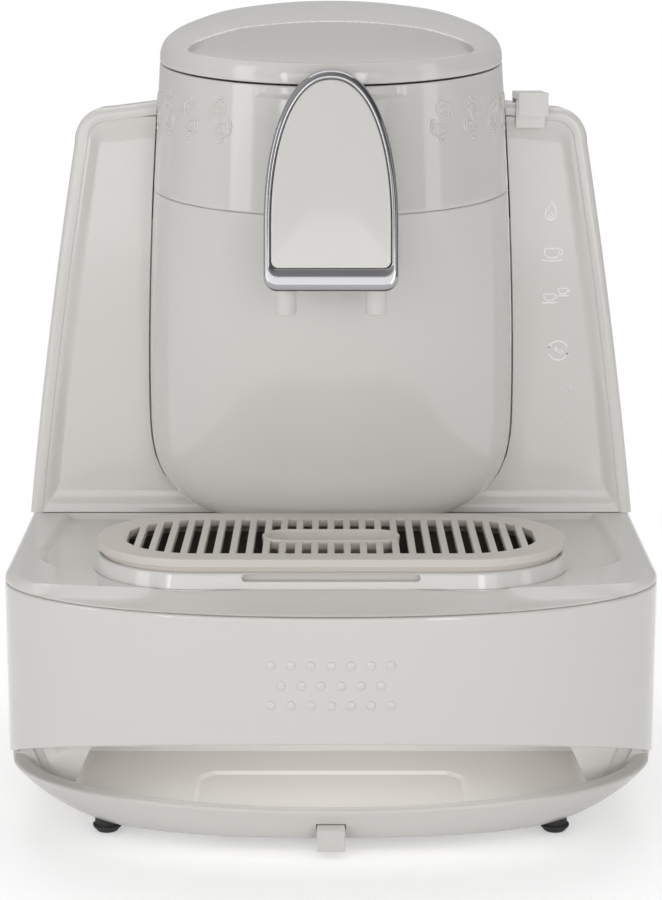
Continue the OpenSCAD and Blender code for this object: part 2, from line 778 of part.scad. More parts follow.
// Outlet valve: the block hangs under the pot and sends the coffee forward
valve_y = tower_y + drain_y + 7;
block_top = lid_z - (pot_h + 10);
block_z = block_top - 30;
pipe_z = block_z + 18;
pipe_r = 3.6;
plunger_r = 5.95;
plunger_top = pipe_z + 4.6;
coil_h = valve_travel + 8;
module outlet_block() {
  color(cream_dark) difference() {
    union() {
      box(-11, 11, valve_y - 13, valve_y + 11, block_z, block_top - 8);
      translate([0, valve_y, block_z]) cylinder(r = 7.6, h = block_top + 1.4 - block_z);
    }
    translate([0, valve_y, block_z - 1]) cylinder(r = plunger_r + 0.05, h = far);
    rod_y(0, valve_y - 14, valve_y, pipe_z, pipe_r);
  }
}
module solenoid() {
  color([0.25, 0.25, 0.27]) translate([0, valve_y, block_z - coil_h - 16.2]) difference() {
    union() {
      cylinder(r = 12, h = coil_h + 16);
      translate([0, 0, coil_h + 14]) box(-11, 11, -11, 11, 0, 2);
    }
    translate([0, 0, 2]) cylinder(r = plunger_r + 0.3, h = far);
  }
}
module valve_plunger() {
  color(steel) translate([0, valve_y, 0]) {
    translate([0, 0, block_z - 12]) cylinder(r = plunger_r, h = plunger_top - block_z + 12);
  }
}
spring_r = 4.6;
spring_wire = 0.7;
spring_turns = 6;
spring_low = block_z - coil_h - 14.1 + spring_wire;
spring_high = block_z - 12.1 - spring_wire;
module valve_spring() {
  steps = 12;
  color(steel) translate([0, valve_y, 0]) tube([for (k = [0:spring_turns * steps])
    [spring_r * cos(360 * k / steps), spring_r * sin(360 * k / steps),
      spring_low + (spring_high - spring_low) * k / (spring_turns * steps)]],
    spring_wire, 6);
}
spout_y = tray_y;
pipe_end = spout_y + 8.6;
module outlet_pipe() {
  color(cream_dark) difference() {
    rod_y(0, pipe_end, valve_y - 13.05, pipe_z, pipe_r);
    rod_y(0, pipe_end - 1, valve_y, pipe_z, pipe_r - 1.4);
  }
}
spout_block_low = nose_low + 3;
module spout_block() {
  color(cream_dark) difference() {
    box(-spout_gap / 2 - 3.6, spout_gap / 2 + 3.6, spout_y - 6, spout_y + 8.5,
      spout_block_low, pipe_z + pipe_r + 2);
    for (s = [-1, 1]) translate([s * spout_gap / 2, spout_y, 0])
      cylinder(r = spout_r - 1.5, h = pipe_z + 1);
    rod_x(-spout_gap / 2, spout_gap / 2, spout_y, pipe_z - 0.4, pipe_r - 2);
    rod_y(0, spout_y, spout_y + 9, pipe_z, pipe_r - 1.4);
  }
}
module spouts() {
  color([0.83, 0.82, 0.80]) for (s = [-1, 1])
    translate([s * spout_gap / 2, spout_y, nose_low - spout_drop]) difference() {
      cylinder(r = spout_r, h = spout_drop + 2.5);
      translate([0, 0, -1]) cylinder(r = spout_r - 1.5, h = spout_drop + 5);
    }
}

// ---------- nose ----------

arch_h = 60;
arch_n = 2.2;
function arch(inset_x, top, low, r) =
  let (a = nose_w / 2 - inset_x, z0 = nose_low + nose_h - arch_h)
  concat(
    [for (t = [-90:7.5:90]) [a * sign(t) * pow(abs(sin(t)), 2 / arch_n),
      z0 + (arch_h - top) * pow(cos(t), 2 / arch_n)]],
    [for (t = [0:-22.5:-90]) [a - r + r * cos(t), nose_low + low + r + r * sin(t)]],
    [for (t = [-90:-22.5:-180]) [-a + r + r * cos(t), nose_low + low + r + r * sin(t)]]);
nose_side = 2.6;
nose_top_rim = 3.3;
nose_chin = 8.6;
nose_front = tower_y - nose_reach;
nose_lean = 11;                         // the nose's face leans back by this angle
nose_cover_t = 2.2;
module nose_face_cut(depth) {
  translate([0, nose_front + depth, nose_low]) rotate([-nose_lean, 0, 0])
    translate([-far / 2, -far, -far / 2]) cube(far);
}
module nose_frame() {
  color(steel) difference() {
    front_prism(nose_front, tower_y - 30) polygon(arch(0, 0, 0, 5.4));
    difference() {
      front_prism(nose_front - 5, tower_y) polygon(arch(nose_side, nose_top_rim,
        2.2, 3.4));
      difference() {
        nose_face_cut(2.6);
        front_prism(nose_front - 20, tower_y)
          polygon(arch(nose_side, nose_top_rim, nose_chin, 3));
      }
    }
    nose_face_cut(0);
    translate([0, tower_y, 0]) cylinder(r = head_low_r + 0.7, h = lid_z + 20);
    translate([0, tower_y, lid_z - 12]) cylinder(r = head_low_r + 1.6, h = far);
    for (s = [-1, 1]) translate([s * spout_gap / 2, spout_y, 0])
      cylinder(r = spout_r + 0.05, h = nose_low + 20);
  }
}
module nose_cover() {
  color(cream) difference() {
    front_prism(nose_front - 5, tower_y - 40)
      polygon(arch(nose_side + 0.15, nose_top_rim + 0.15, nose_chin + 0.15, 3));
    nose_face_cut(0.4);
    difference() {
      box(-far, far, -far, far, 0, 2 * far);
      nose_face_cut(0.4 + nose_cover_t);
    }
    translate([0, tower_y, 0]) cylinder(r = head_low_r + 1.8, h = far * 2);
  }
}

// ---------- lid ----------

dome = [[head_top_r, 0], [head_top_r - 0.3, 4.6], [head_top_r - 2, 8.6],
  [head_top_r - 5, 11.4], [head_top_r - 10, 14.2], [52, 18.2], [42, 20.2], [31, 21.8],
  [16, 23], [0, 23.4]];
dome_inside = [[0, 17], [30, 15.8], [50, 10.6], [64, 6.5], [69.6, 3], [69.6, 0]];
dome_scale = (lid_rise - 2) / 23.4;
scoop_r = 120;
knuckle_w = 2 * ear_x - 4.8;
module lid_shell() {
  color(cream) tilted() difference() {
    union() {
      rotate_extrude() polygon([for (p = concat(dome, dome_inside))
        [p[0], p[1] * dome_scale + (p[1] == 0 ? 0.4 : 0)]]);
      // knuckle between the band's ears, and the web that joins it to the dome
      rotate([90, 0, 90]) translate([0, 0, -knuckle_w / 2]) linear_extrude(knuckle_w) {
        translate([hinge_y, hinge_h]) circle(hinge_boss);
        translate([head_top_r - 3.6, 0.9]) square([hinge_y - head_top_r + 3.6, hinge_h + 2]);
      }
    }
    // finger scoop across the front of the dome
    translate([0, -head_top_r - 1, 8.2 * dome_scale]) rotate([17.5, 0, 0])
      translate([-far / 2, 20, scoop_r - 1.6]) rotate([0, 90, 0])
        cylinder(r = scoop_r, h = far, $fn = 200);
    translate([-25, hinge_y, hinge_h]) rotate([0, 90, 0]) cylinder(r = hinge_r + 0.05, h = 50);
  }
}
module lid_liner() {
  color(cream_dark) tilted() difference() {
    translate([0, 0, 0.2]) rotate_extrude() polygon([[0, 0], [pot_r + 6, 0],
      [pot_r + 6, 0.6], [head_top_r - 3.8, 0.6], [head_top_r - 3.8, 2.4], [0, 2.4]]);
    translate([0, 0, -1]) cylinder(r = 3, h = 8);
  }
}
module lid_gasket() {
  color([0.9, 0.9, 0.88]) tilted() translate([0, 0, -1.2]) difference() {
    cylinder(r = pot_r + 7, h = 1.4);
    translate([0, 0, -1]) cylinder(r = pot_r + 4, h = 4);
  }
}
module lid_pin() {
  color(steel) tilted() translate([-ear_x - 2.6, hinge_y, hinge_h]) rotate([0, 90, 0])
    cylinder(r = hinge_r - 0.01, h = 2 * ear_x + 5.2);
}

// ---------- back ----------

cover_inset = 8;                        // the back cover stays inside the shield
cover_top = wing_shoulder - 6;
cover_corner = 26;
module cover_view(inset) {
  polygon(concat([for (k = [0:8]) let (z = deck_z + (cover_top - deck_z) * k / 8)
    [wing_x(min(z, wing_shoulder - 20)) - cover_inset - inset, z]],
    [for (k = [8:-1:0]) let (z = deck_z + (cover_top - deck_z) * k / 8)
    [-wing_x(min(z, wing_shoulder - 20)) + cover_inset + inset, z]]));
}
module cover_block(inset) {
  intersection() {
    front_prism(wing_back, rear_y + 10) cover_view(inset);
    linear_extrude(far) polygon(concat(
      [[-hw, wing_back], [hw, wing_back]],
      [for (s = [1, -1], k = [0:6]) let (t = s > 0 ? 15 * k : 90 - 15 * k,
        r = cover_corner - inset)
        [s * (hw - 12 - inset - r + r * cos(t)), rear_y - inset - r + r * sin(t)]]));
  }
}
module tank_plan(inset) {
  difference() {
    translate([tank_x0 + inset, tank_y0 + inset])
      square([tank_x1 - tank_x0 - 2 * inset, tank_y1 - tank_y0 - 2 * inset]);
    translate([0, tower_y]) circle(head_low_r + 5.8 + inset);
  }
}
tank_x0 = ear_x + 5;                    // clear of the lid's hinge as the tank lifts
tank_x1 = wing_x(wing_shoulder - 20) - cover_inset - wall - 3;
tank_y0 = wing_back + 5;
tank_y1 = rear_y - wall - 3;
bay_floor = deck_z + 4;
cover_fix_x = [-84, ear_x - 12];        // the tank's bay holds the cover's right side
cover_fix_z = [deck_z + 12, cover_top - 14];
tub_fix_x = [-60, 60];
module rear_cover() {
  color(cream) difference() {
    cover_block(0);
    difference() {
      cover_block(wall);
      translate([-far / 2, -far / 2, cover_top - wall]) cube(far);
    }
    head_room(deck_z - 1);
    translate([0, 0, cover_top - 10]) linear_extrude(far) tank_plan(-tank_gap);
    for (x = cover_fix_x, z = cover_fix_z) screw_hole(x, z);
    for (k = [-5:5]) box(-70 + k * 5 - 1.2, -70 + k * 5 + 1.2, rear_y - 10, rear_y + 1,
      deck_z + 30, deck_z + 60);
  }
}
module rear_screws() {
  color(steel) {
    for (x = cover_fix_x, z = cover_fix_z) rear_screw(x, z);
    for (x = tub_fix_x) rear_screw(x, drawer_seam_z - 8);
  }
}
// Flush screw with a cross recess, and the stepped hole that it sits in
module rear_screw(x, z) {
  rod_y(x, rear_y - wall - 5, rear_y - 1.6, z, 1.5);
  difference() {
    rod_y(x, rear_y - 1.65, rear_y - 0.3, z, 3);
    for (a = [0, 90]) translate([x, rear_y, z]) rotate([0, a, 0]) cube([0.8, 1.6, 3.6], center = true);
  }
}
module screw_hole(x, z) {
  rod_y(x, rear_y - wall - 5, rear_y + 1, z, 1.6);
  rod_y(x, rear_y - 1.7, rear_y + 1, z, 3.2);
}

// Bay that the tank drops into, with the socket that opens its valve
bay_h = 60;
bay_boss_r = 9.5;
bay_bore_r = 7;                         // loose round the tank's neck
valve_x = tank_x1 - 12;
valve_yt = (tank_y0 + tank_y1) / 2 + 6;
module tank_bay() {
  color(cream_dark) difference() {
    union() {
      translate([0, 0, bay_floor - 2]) linear_extrude(bay_h) tank_plan(-tank_gap - 1.2);
      translate([valve_x, valve_yt, bay_floor - 12]) cylinder(r = bay_boss_r, h = 11);
    }
    translate([0, 0, bay_floor]) linear_extrude(far) tank_plan(-tank_gap);
    translate([valve_x, valve_yt, bay_floor - 10]) cylinder(r = bay_bore_r, h = 30);
    translate([valve_x, valve_yt, bay_floor - 20]) cylinder(r = 3, h = 30);
  }
}

tank_low = bay_floor + 0.5;
tank_top = cover_top - 1.4;
tank_pin_y = tank_y1 - 2.8;
tank_pin_z = tank_top + 3;
lid_t = 2.2;
float_x = tank_x1 - 12;
float_y = tank_y0 + 14;
float_r = 7;
guide_r = 2;
float_travel = 90;
module water_tank() {
  color([0.82, 0.84, 0.86, 0.6]) difference() {
    union() {
      difference() {
        translate([0, 0, tank_low]) linear_extrude(tank_top - tank_low) tank_plan(0);
        translate([0, 0, tank_low + tank_wall]) linear_extrude(far) tank_plan(tank_wall);
      }
      translate([valve_x, valve_yt, tank_low - 6]) cylinder(r = 5, h = 6 + tank_wall);
      translate([float_x, float_y, tank_low + 1]) cylinder(r = guide_r,
        h = float_travel + 22);
      // hinge ears that stand on the back rim
      for (x = [tank_x0 + 10, tank_x1 - 10]) {
        box(x - 2, x + 2, tank_pin_y - 1, tank_y1 - 0.2, tank_top - 6, tank_pin_z);
        rod_x(x - 2, x + 2, tank_pin_y, tank_pin_z, 2.6);
      }
    }
    translate([valve_x, valve_yt, tank_low - 7]) cylinder(r = 3.05, h = 20);
    rod_x(tank_x0 + 4, tank_x1 - 4, tank_pin_y, tank_pin_z, 1.5);
  }
}
module tank_valve() {
  color(cream_dark) translate([valve_x, valve_yt, tank_low - 5.5]) {
    cylinder(r = 3, h = 9);
    translate([0, 0, 7.6]) cylinder(r = 4.6, h = 1.8);
  }
}
module level_float() {
  color([0.9, 0.5, 0.2]) translate([float_x, float_y, tank_low + tank_wall + 0.3])
    difference() {
      cylinder(r = float_r, h = 12);
      translate([0, 0, -1]) cylinder(r = guide_r + gap, h = 14);
    }
}
module tank_lid_pin() {
  color(steel) rod_x(tank_x0 + 7.5, tank_x1 - 7.5, tank_pin_y, tank_pin_z, 1.49);
}
tab_x = [80, 92.6];
tab_y = rim_y - 0.5;                    // back of the tab's plates, clear of the rim
module tank_lid() {
  z0 = tank_top + 0.2;
  knuckle_x0 = tank_x0 + 13;
  knuckle_x1 = tank_x1 - 13;
  tab_z = wing_top + 0.6;
  color(cream) difference() {
    union() {
      difference() {
        translate([0, 0, z0]) linear_extrude(lid_t) tank_plan(0.2);
        box(0, far, tank_pin_y - 3, far, 0, far);
      }
      for (x = [knuckle_x0, knuckle_x1 - 8]) {
        rod_x(x, x + 8, tank_pin_y, tank_pin_z, 2.6);
        box(x, x + 8, tank_pin_y - 4, tank_pin_y, z0, z0 + lid_t);
      }
      // finger tab that bridges the shield's top edge
      box(tab_x[0], tab_x[1], tank_y0 + 1, tank_y0 + 5, z0, tab_z + 3);
      box(tab_x[0], tab_x[1], tab_y - 2.4, tank_y0 + 5, tab_z, tab_z + 3);
      box(tab_x[0], tab_x[1], tab_y - 2.4, tab_y, tab_z - 7, tab_z + 3);
      box(tab_x[0] - 1, tab_x[1] - 1.4, tab_y - 1.2, tab_y, tab_z - 11.6, tab_z);
    }
    rod_x(tank_x0, tank_x1, tank_pin_y, tank_pin_z, 1.54);
  }
}

// ---------- inside the base and behind the column ----------

pump_y = tower_y + 44;
pump_z = 46;
pump_r = 17;
module water_pump() {
  color([0.2, 0.2, 0.22]) {
    rod_x(-20, 40, pump_y, pump_z, pump_r);
    rod_x(-28, -20, pump_y, pump_z, pump_r - 5);
    rod_x(-36, -28, pump_y, pump_z, 3);
    rod_x(40, 54, pump_y, pump_z, 3);
  }
}
module pump_mounts() {
  color(rubber) for (x = [-12, 30]) difference() {
    box(x - 4, x + 4, pump_y - pump_r - 3, pump_y + pump_r + 3, hull_z + 7, pump_z);
    rod_x(x - 5, x + 5, pump_y, pump_z, pump_r + 0.02);
  }
}
hose_r = 3.6;
module suction_hose() {
  color([0.85, 0.85, 0.82]) tube(curve([
    [54.2, pump_y, pump_z], [64, pump_y, pump_z], [74, pump_y + 2, pump_z + 8],
    [valve_x - 4, (pump_y + valve_yt) / 2, pump_z + 26],
    [valve_x, valve_yt, bay_floor - 24], [valve_x, valve_yt, bay_floor - 12.1]], 5), hose_r);
}
nozzle_r = pot_r + 12;
nozzle_h = -16;
nozzle_angle = 40;
nozzle_y = nozzle_r * cos(nozzle_angle);
nozzle_foot = [-nozzle_r * sin(nozzle_angle),
  tower_y + nozzle_y * cos(lid_tilt) - nozzle_h * sin(lid_tilt),
  lid_z + nozzle_y * sin(lid_tilt) + nozzle_h * cos(lid_tilt)];
module feed_hose() {
  color([0.85, 0.85, 0.82]) tube(curve([
    [-36.2, pump_y, pump_z], [-44, pump_y, pump_z], [-52, pump_y, pump_z + 10],
    [-54, pump_y, pump_z + 40], [-52, pump_y - 4, deck_z + 40], [-48, pump_y - 6, mid_z - 30],
    [nozzle_foot[0] - 3, nozzle_foot[1] - 6, mid_z],
    [nozzle_foot[0], nozzle_foot[1], nozzle_foot[2] - 20],
    [nozzle_foot[0], nozzle_foot[1], nozzle_foot[2] - 9]], 5), hose_r);
}
// Elbow that carries the water from the hose through the pot's wall
module water_nozzle() {
  color(cream_dark) {
    translate([nozzle_foot[0], nozzle_foot[1], nozzle_foot[2] - 8.9])
      cylinder(r = 3, h = 11);
    tilted() feed_bore(2);
  }
}
board_z = 24;
module power_board() {
  x0 = -hw + 30;
  y0 = tower_y + 6;
  color("darkgreen") {
    box(x0, x0 + 56, y0, rear_y - 24, board_z, board_z + 1.6);
    box(x0 + 6, x0 + 26, y0 + 8, y0 + 26, board_z + 1.6, board_z + 18);
    translate([x0 + 42, y0 + 16, board_z + 1.6]) cylinder(r = 6, h = 20);
    box(x0 + 34, x0 + 50, y0 + 34, y0 + 44, board_z + 1.6, board_z + 14);
  }
}
module switch_bezel() {
  color([0.1, 0.1, 0.1]) difference() {
    union() {
      box(switch_x - switch_w + 0.2, switch_x + switch_w - 0.2, rear_y - 20,
        rear_y - 0.6, switch_z - switch_h + 0.2, switch_z + switch_h - 0.2);
      box(switch_x - switch_w - 1.4, switch_x + switch_w + 1.4, rear_y - wall - 2,
        rear_y - wall - 0.2, switch_z - switch_h - 1.4, switch_z + switch_h + 1.4);
    }
    box(switch_x - switch_w + 1.8, switch_x + switch_w - 1.8, rear_y - 12, rear_y + 1,
      switch_z - switch_h + 1.8, switch_z + switch_h - 1.8);
    rod_x(switch_x - switch_w + 0.6, switch_x + switch_w - 0.6, rocker_y, switch_z, 1.05);
  }
}
rocker_y = rear_y - 6;
rocker_rest = 8;
module power_rocker() {
  half = switch_w - 2.3;
  color([0.12, 0.12, 0.12]) translate([switch_x, rocker_y, switch_z])
    rotate([rocker_rest, 0, 0]) {
      box(-half, half, -2.5, 3.5, -switch_h + 2.6, switch_h - 2.6);
      rod_x(-switch_w + 0.8, switch_w - 0.8, 0, 0, 1);
    }
}
module cord_gland() {
  color([0.1, 0.1, 0.1]) difference() {
    union() {
      rod_y(gland_x, rear_y - 14, rear_y - 0.2, gland_z, gland_r - 0.05);
      rod_y(gland_x, rear_y - wall - 3, rear_y - wall - 0.2, gland_z, gland_r + 2);
    }
    rod_y(gland_x, rear_y - 15, rear_y + 1, gland_z, 3.6);
  }
}

base_tub();
base_cover();
base_latch();
cover_screws();
feet();
deck_plate();
storage_liner();
drawer_front();
drawer_tub();
drip_tray();
drip_grill();
wing_shell();
left_fascia();
right_fascia();
touch_icons();
status_lights();
touch_board();
column_shell();
head_band();
head_deck();
brew_pot();
pot_gasket();
heater_ring();
temperature_probe();
outlet_block();
solenoid();
valve_plunger();
valve_spring();
outlet_pipe();
spout_block();
spouts();
nose_frame();
nose_cover();
lid_shell();
lid_liner();
lid_gasket();
lid_pin();
rear_cover();
rear_screws();
tank_bay();
water_tank();
tank_lid();
tank_lid_pin();
tank_valve();
level_float();
water_pump();
pump_mounts();
suction_hose();
feed_hose();
water_nozzle();
power_board();
switch_bezel();
power_rocker();
cord_gland();
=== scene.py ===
"""Electric Turkish coffee maker: the visible pieces, their finishes and the studio they stand in."""

import math

import bmesh
import bpy
import numpy as np
from mathutils import Matrix, Vector


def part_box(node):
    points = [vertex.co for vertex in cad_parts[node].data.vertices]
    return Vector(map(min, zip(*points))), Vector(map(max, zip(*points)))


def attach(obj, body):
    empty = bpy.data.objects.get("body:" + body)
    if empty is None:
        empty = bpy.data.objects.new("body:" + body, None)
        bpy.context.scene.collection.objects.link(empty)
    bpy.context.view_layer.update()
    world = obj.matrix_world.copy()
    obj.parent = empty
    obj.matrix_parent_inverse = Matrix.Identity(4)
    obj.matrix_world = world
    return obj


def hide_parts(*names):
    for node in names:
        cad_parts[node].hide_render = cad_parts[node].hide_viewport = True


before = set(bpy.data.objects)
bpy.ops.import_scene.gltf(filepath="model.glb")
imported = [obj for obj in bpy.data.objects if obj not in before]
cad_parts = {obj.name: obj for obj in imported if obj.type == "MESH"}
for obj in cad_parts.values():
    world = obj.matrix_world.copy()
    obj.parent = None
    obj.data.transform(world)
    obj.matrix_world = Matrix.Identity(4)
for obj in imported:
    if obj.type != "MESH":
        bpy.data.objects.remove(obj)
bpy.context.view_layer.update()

bl_info = {
    "name": "Turkish coffee maker",
    "version": (1, 0, 0),
    "blender": (4, 5, 0),
    "location": "View3D > Sidebar > Coffee maker",
    "description": "Builds the coffee maker's housing, trays, head and lid round its packed frame",
    "category": "Add Mesh",
}

MM = 0.001
WELD = 0.002                   # points closer than this, in millimetres, are one


def node_range(node):
    """Lowest and highest corner of a CAD node in millimetres."""
    low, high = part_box(node)
    return [c / MM for c in low], [c / MM for c in high]


# ---------------------------------------------------------------- shared sizes, in millimetres

DECK_LOW, DECK_HIGH = node_range("deck_plate")
HALF_WIDTH = DECK_HIGH[0]
FRONT_Y = DECK_LOW[1]
REAR_Y = DECK_HIGH[1]
DECK_Z = DECK_HIGH[2]
SEAM_Z = DECK_Z - 5            # seam between the deck and the drawer front
GAP = 0.3                      # between pieces that move past each other
BOW_Y = FRONT_Y + 66           # where the bowed front meets the sides
BOW_SQUARE = 2.15              # squareness of that bow
SIDE_FLARE = 4.5               # how much wider the housing is at the back than at the bow
REAR_CORNER = 34
WALL = 2.6

TOWER_Y = FRONT_Y + 162.5      # axis of the head and the column
LID_Z = 307                    # seam under the lid, on that axis
MID_Z = 253.6                  # seam between the head band and the column
LID_TILT = math.radians(7)
MID_TILT = math.radians(5)
HEAD_TOP_R = 72.8
HEAD_LOW_R = 76.2

TRAY_Y = FRONT_Y + 65          # the tray is a stadium round this line
TRAY_HALF = 52.5
TRAY_R = 41
TRAY_TOP = DECK_Z + 11.4       # top of the grill
WELL_Z = DECK_Z - 2.4          # floor of the saucer round the tray

BILGE_Z = 29.5                 # widest line of the lower hull
HULL_Z = 4
LIP_Y = FRONT_Y + 33           # the hull's front lip
LIP_Z = 16
DRAWER_LOW = 55                # lower edge of the drawer front, in the middle
DRAWER_SIDE_Y = BOW_Y + 3      # where the drawer front ends at the sides
MOUTH_SLOPE = (DRAWER_LOW - BILGE_Z) / (DRAWER_SIDE_Y - FRONT_Y)

FOOT_R = 5
FOOT_PLACES = [(x, y) for x in (-91, 91) for y in (TOWER_Y - 104, REAR_Y - 36)]
CORD_PLACE = (-88, 46)         # (x, z) of the cord gland in the back
SWITCH_PLACE = (-88, 76)       # (x, z) of the mains switch above it

RIM_Y = TOWER_Y - 4            # front of the shield's raised rim
WING_SHOULDER = 287            # height of the shield at its outer corners
WING_TOP = LID_Z - 17.4        # and where it meets the head
WING_BACK = TOWER_Y + 20


# ---------------------------------------------------------------- curves in plan and elevation

def superellipse(t, n):
    """Sine and cosine of a unit superellipse, squarer as n grows."""
    s, c = math.sin(t), math.cos(t)
    return math.copysign(abs(s) ** (2 / n), s), math.copysign(abs(c) ** (2 / n), c)


def bow(a, front, side, n=BOW_SQUARE, steps=96):
    """Curve across the front from left to right, as (x, y)."""
    points = []
    for k in range(steps + 1):
        u = k / steps * 2 - 1
        t = math.pi / 2 * (u + 0.35 * u * (1 - u * u) * abs(u))
        s, c = superellipse(t, n)
        points.append((a * s, side - (side - front) * abs(c)))
    return points


def bow_at(x, a, front, side):
    """Depth of that curve at one place across the front."""
    u = min(abs(x) / a, 1)
    return side - (side - front) * (1 - u ** BOW_SQUARE) ** (1 / BOW_SQUARE)


def plan(a, front, side, rear, corner, flare=SIDE_FLARE):
    """Outline of the housing: bowed front, flared sides, rounded back corners."""
    curve = bow(a - flare, front, side)
    corners = mirrored([
        (a - corner + corner * math.cos(t), rear - corner + corner * math.sin(t))
        for t in (math.pi / 2 * k / 12 for k in range(13))])

    def side_line(p, q):
        return [between(p, q, k / 10) for k in range(1, 10)]

    return curve + side_line(curve[-1], corners[0]) + corners + side_line(corners[-1], curve[0])


def circle(r, steps=96):
    """Points (x, y) of a circle, counter-clockwise."""
    turn = math.tau / steps
    return [(r * math.cos(turn * k), r * math.sin(turn * k)) for k in range(steps)]


def mirrored(points):
    """Right half of an outline, then its mirror image back to the start."""
    return points + [(-x, y) for x, y in reversed(points)]


def stadium(half, r, n=64):
    """Closed outline with straight sides along X and round ends, counter-clockwise."""
    points = []
    for s in (1, -1):
        for k in range(n + 1):
            t = math.pi * (k / n - 0.5)
            points.append((s * (half + r * math.cos(t)), s * r * math.sin(t)))
    return points


def wing_x(z):
    """Half width of the shield at a height."""
    u = (z - DECK_Z) / (WING_SHOULDER - DECK_Z)
    return HALF_WIDTH - 2 - 20 * u - 5.5 * u * u


def smooth(t):
    """Soft step from 0 to 1."""
    t = min(max(t, 0), 1)
    return t * t * (3 - 2 * t)


def lerp(a, b, t):
    return a + (b - a) * t


def between(a, b, t):
    """Point at a share of the way from one point to another."""
    return tuple(lerp(p, q, t) for p, q in zip(a, b))


def head_r(z):
    """Radius of the head band at a height."""
    return HEAD_LOW_R - (HEAD_LOW_R - HEAD_TOP_R) * (z - MID_Z) / (LID_Z - MID_Z)


def tilted(point):
    """Point of the lid's own frame, in the machine's frame."""
    x, y, z = point
    c, s = math.cos(LID_TILT), math.sin(LID_TILT)
    return (x, TOWER_Y + y * c - z * s, LID_Z + y * s + z * c)


# ---------------------------------------------------------------- mesh building

def make_object(name, verts, faces, sharp=32.0):
    """Object from points in millimetres; edges steeper than the angle stay sharp."""
    mesh = bpy.data.meshes.new(name)
    mesh.from_pydata([(v[0] * MM, v[1] * MM, v[2] * MM) for v in verts], [], faces)
    obj = bpy.data.objects.new(name, mesh)
    bpy.context.scene.collection.objects.link(obj)
    tidy_mesh(obj, sharp)
    return obj


def shade(obj, sharp):
    """Smooth shading, with edges steeper than an angle kept sharp."""
    obj.data.shade_smooth()
    obj.data.set_sharp_from_angle(angle=math.radians(sharp))


def tidy_mesh(obj, sharp):
    """Joins doubled points, turns the faces outward and sets smooth shading."""
    bm = bmesh.new()
    bm.from_mesh(obj.data)
    bmesh.ops.remove_doubles(bm, verts=bm.verts, dist=WELD * MM)
    bmesh.ops.dissolve_degenerate(bm, edges=bm.edges, dist=WELD * MM / 2)
    bmesh.ops.recalc_face_normals(bm, faces=bm.faces)
    bm.to_mesh(obj.data)
    bm.free()
    shade(obj, sharp)


def rings_mesh(rings, loop=False, caps=True):
    """Points and faces of a skin over rings of equally many points."""
    n = len(rings[0])
    verts = [p for ring in rings for p in ring]
    faces = []
    for j in range(len(rings) if loop else len(rings) - 1):
        a, b = j * n, (j + 1) % len(rings) * n
        faces += [(a + i, a + (i + 1) % n, b + (i + 1) % n, b + i) for i in range(n)]
    if caps and not loop:
        faces.append(tuple(range(n - 1, -1, -1)))
        faces.append(tuple((len(rings) - 1) * n + i for i in range(n)))
    return verts, faces


def sheet_mesh(rows):
    """Points and faces of an open patch of rows of equally many points."""
    n = len(rows[0])
    verts = [p for row in rows for p in row]
    faces = [(j * n + i, j * n + i + 1, (j + 1) * n + i + 1, (j + 1) * n + i)
             for j in range(len(rows) - 1) for i in range(n - 1)]
    return verts, faces


def joined(*parts):
    """Several (points, faces) pairs as one."""
    verts, faces = [], []
    for v, f in parts:
        base = len(verts)
        verts += v
        faces += [tuple(base + i for i in face) for face in f]
    return verts, faces


def lathe(profile, steps, place):
    """Skin of a profile of (radius, height) turned about Z, each point then put in its place."""
    return rings_mesh([[place((x, y, z)) for x, y in circle(max(r, 0.01), steps)]
                       for r, z in profile])


def stadium_lathe(profile, half, n=64, loop=False):
    """Skin of a profile of (radius, height) swept round a stadium in the middle of the tray."""
    rings = [[(x, y + TRAY_Y, z) for x, y in stadium(half, max(r, 0.05), n)]
             for r, z in profile]
    return rings_mesh(rings, loop=loop)


def prism(outline, y0, y1):
    """Extrusion of a front view from y0 to y1."""
    return rings_mesh([[(x, y, z) for x, z in outline] for y in (y0, y1)])


def block(x0, x1, y0, y1, z0, z1):
    """Points and faces of a plain block."""
    return rings_mesh([[(x0, y0, z), (x1, y0, z), (x1, y1, z), (x0, y1, z)] for z in (z0, z1)])


def rod(a, b, r, steps=32):
    """Points and faces of a round bar between two points."""
    a, b = Vector(a), Vector(b)
    turn = (b - a).to_track_quat("Z", "Y")
    return rings_mesh([[tuple(end + turn @ Vector((x, y, 0))) for x, y in circle(r, steps)]
                       for end in (a, b)])


def bake(obj):
    """Puts what the modifiers make of a mesh in its place."""
    deps = bpy.context.evaluated_depsgraph_get()
    mesh = bpy.data.meshes.new_from_object(obj.evaluated_get(deps))
    obj.modifiers.clear()
    obj.data = mesh


def cut(obj, *cutters, sharp=32.0, operation="DIFFERENCE"):
    """Takes solids, given as (points, faces), out of an object, or adds them by UNION."""
    for k, (verts, faces) in enumerate(cutters):
        tool = make_object(f"{obj.name}_tool{k}", verts, faces)
        step = obj.modifiers.new("Cut", "BOOLEAN")
        step.operation = operation
        step.solver = "EXACT"
        step.object = tool
        bake(obj)
        mesh = tool.data
        bpy.data.objects.remove(tool)
        bpy.data.meshes.remove(mesh)
    shade(obj, sharp)


def merge(obj, *others):
    """Adds the meshes of other objects to an object and removes them."""
    bm = bmesh.new()
    bm.from_mesh(obj.data)
    for other in others:
        bm.from_mesh(other.data)
        mesh = other.data
        bpy.data.objects.remove(other)
        bpy.data.meshes.remove(mesh)
    bm.to_mesh(obj.data)
    bm.free()


def soften(obj, width, segments):
    """Rounds the sharp edges and keeps the flat faces flat."""
    step = obj.modifiers.new("Soften", "BEVEL")
    step.width = width * MM
    step.segments = segments
    step.limit_method = "ANGLE"
    step.angle_limit = math.radians(30)
    step.harden_normals = False
    step.miter_outer = "MITER_ARC"
    bake(obj)
    shade(obj, 40)
    even_normals(obj)


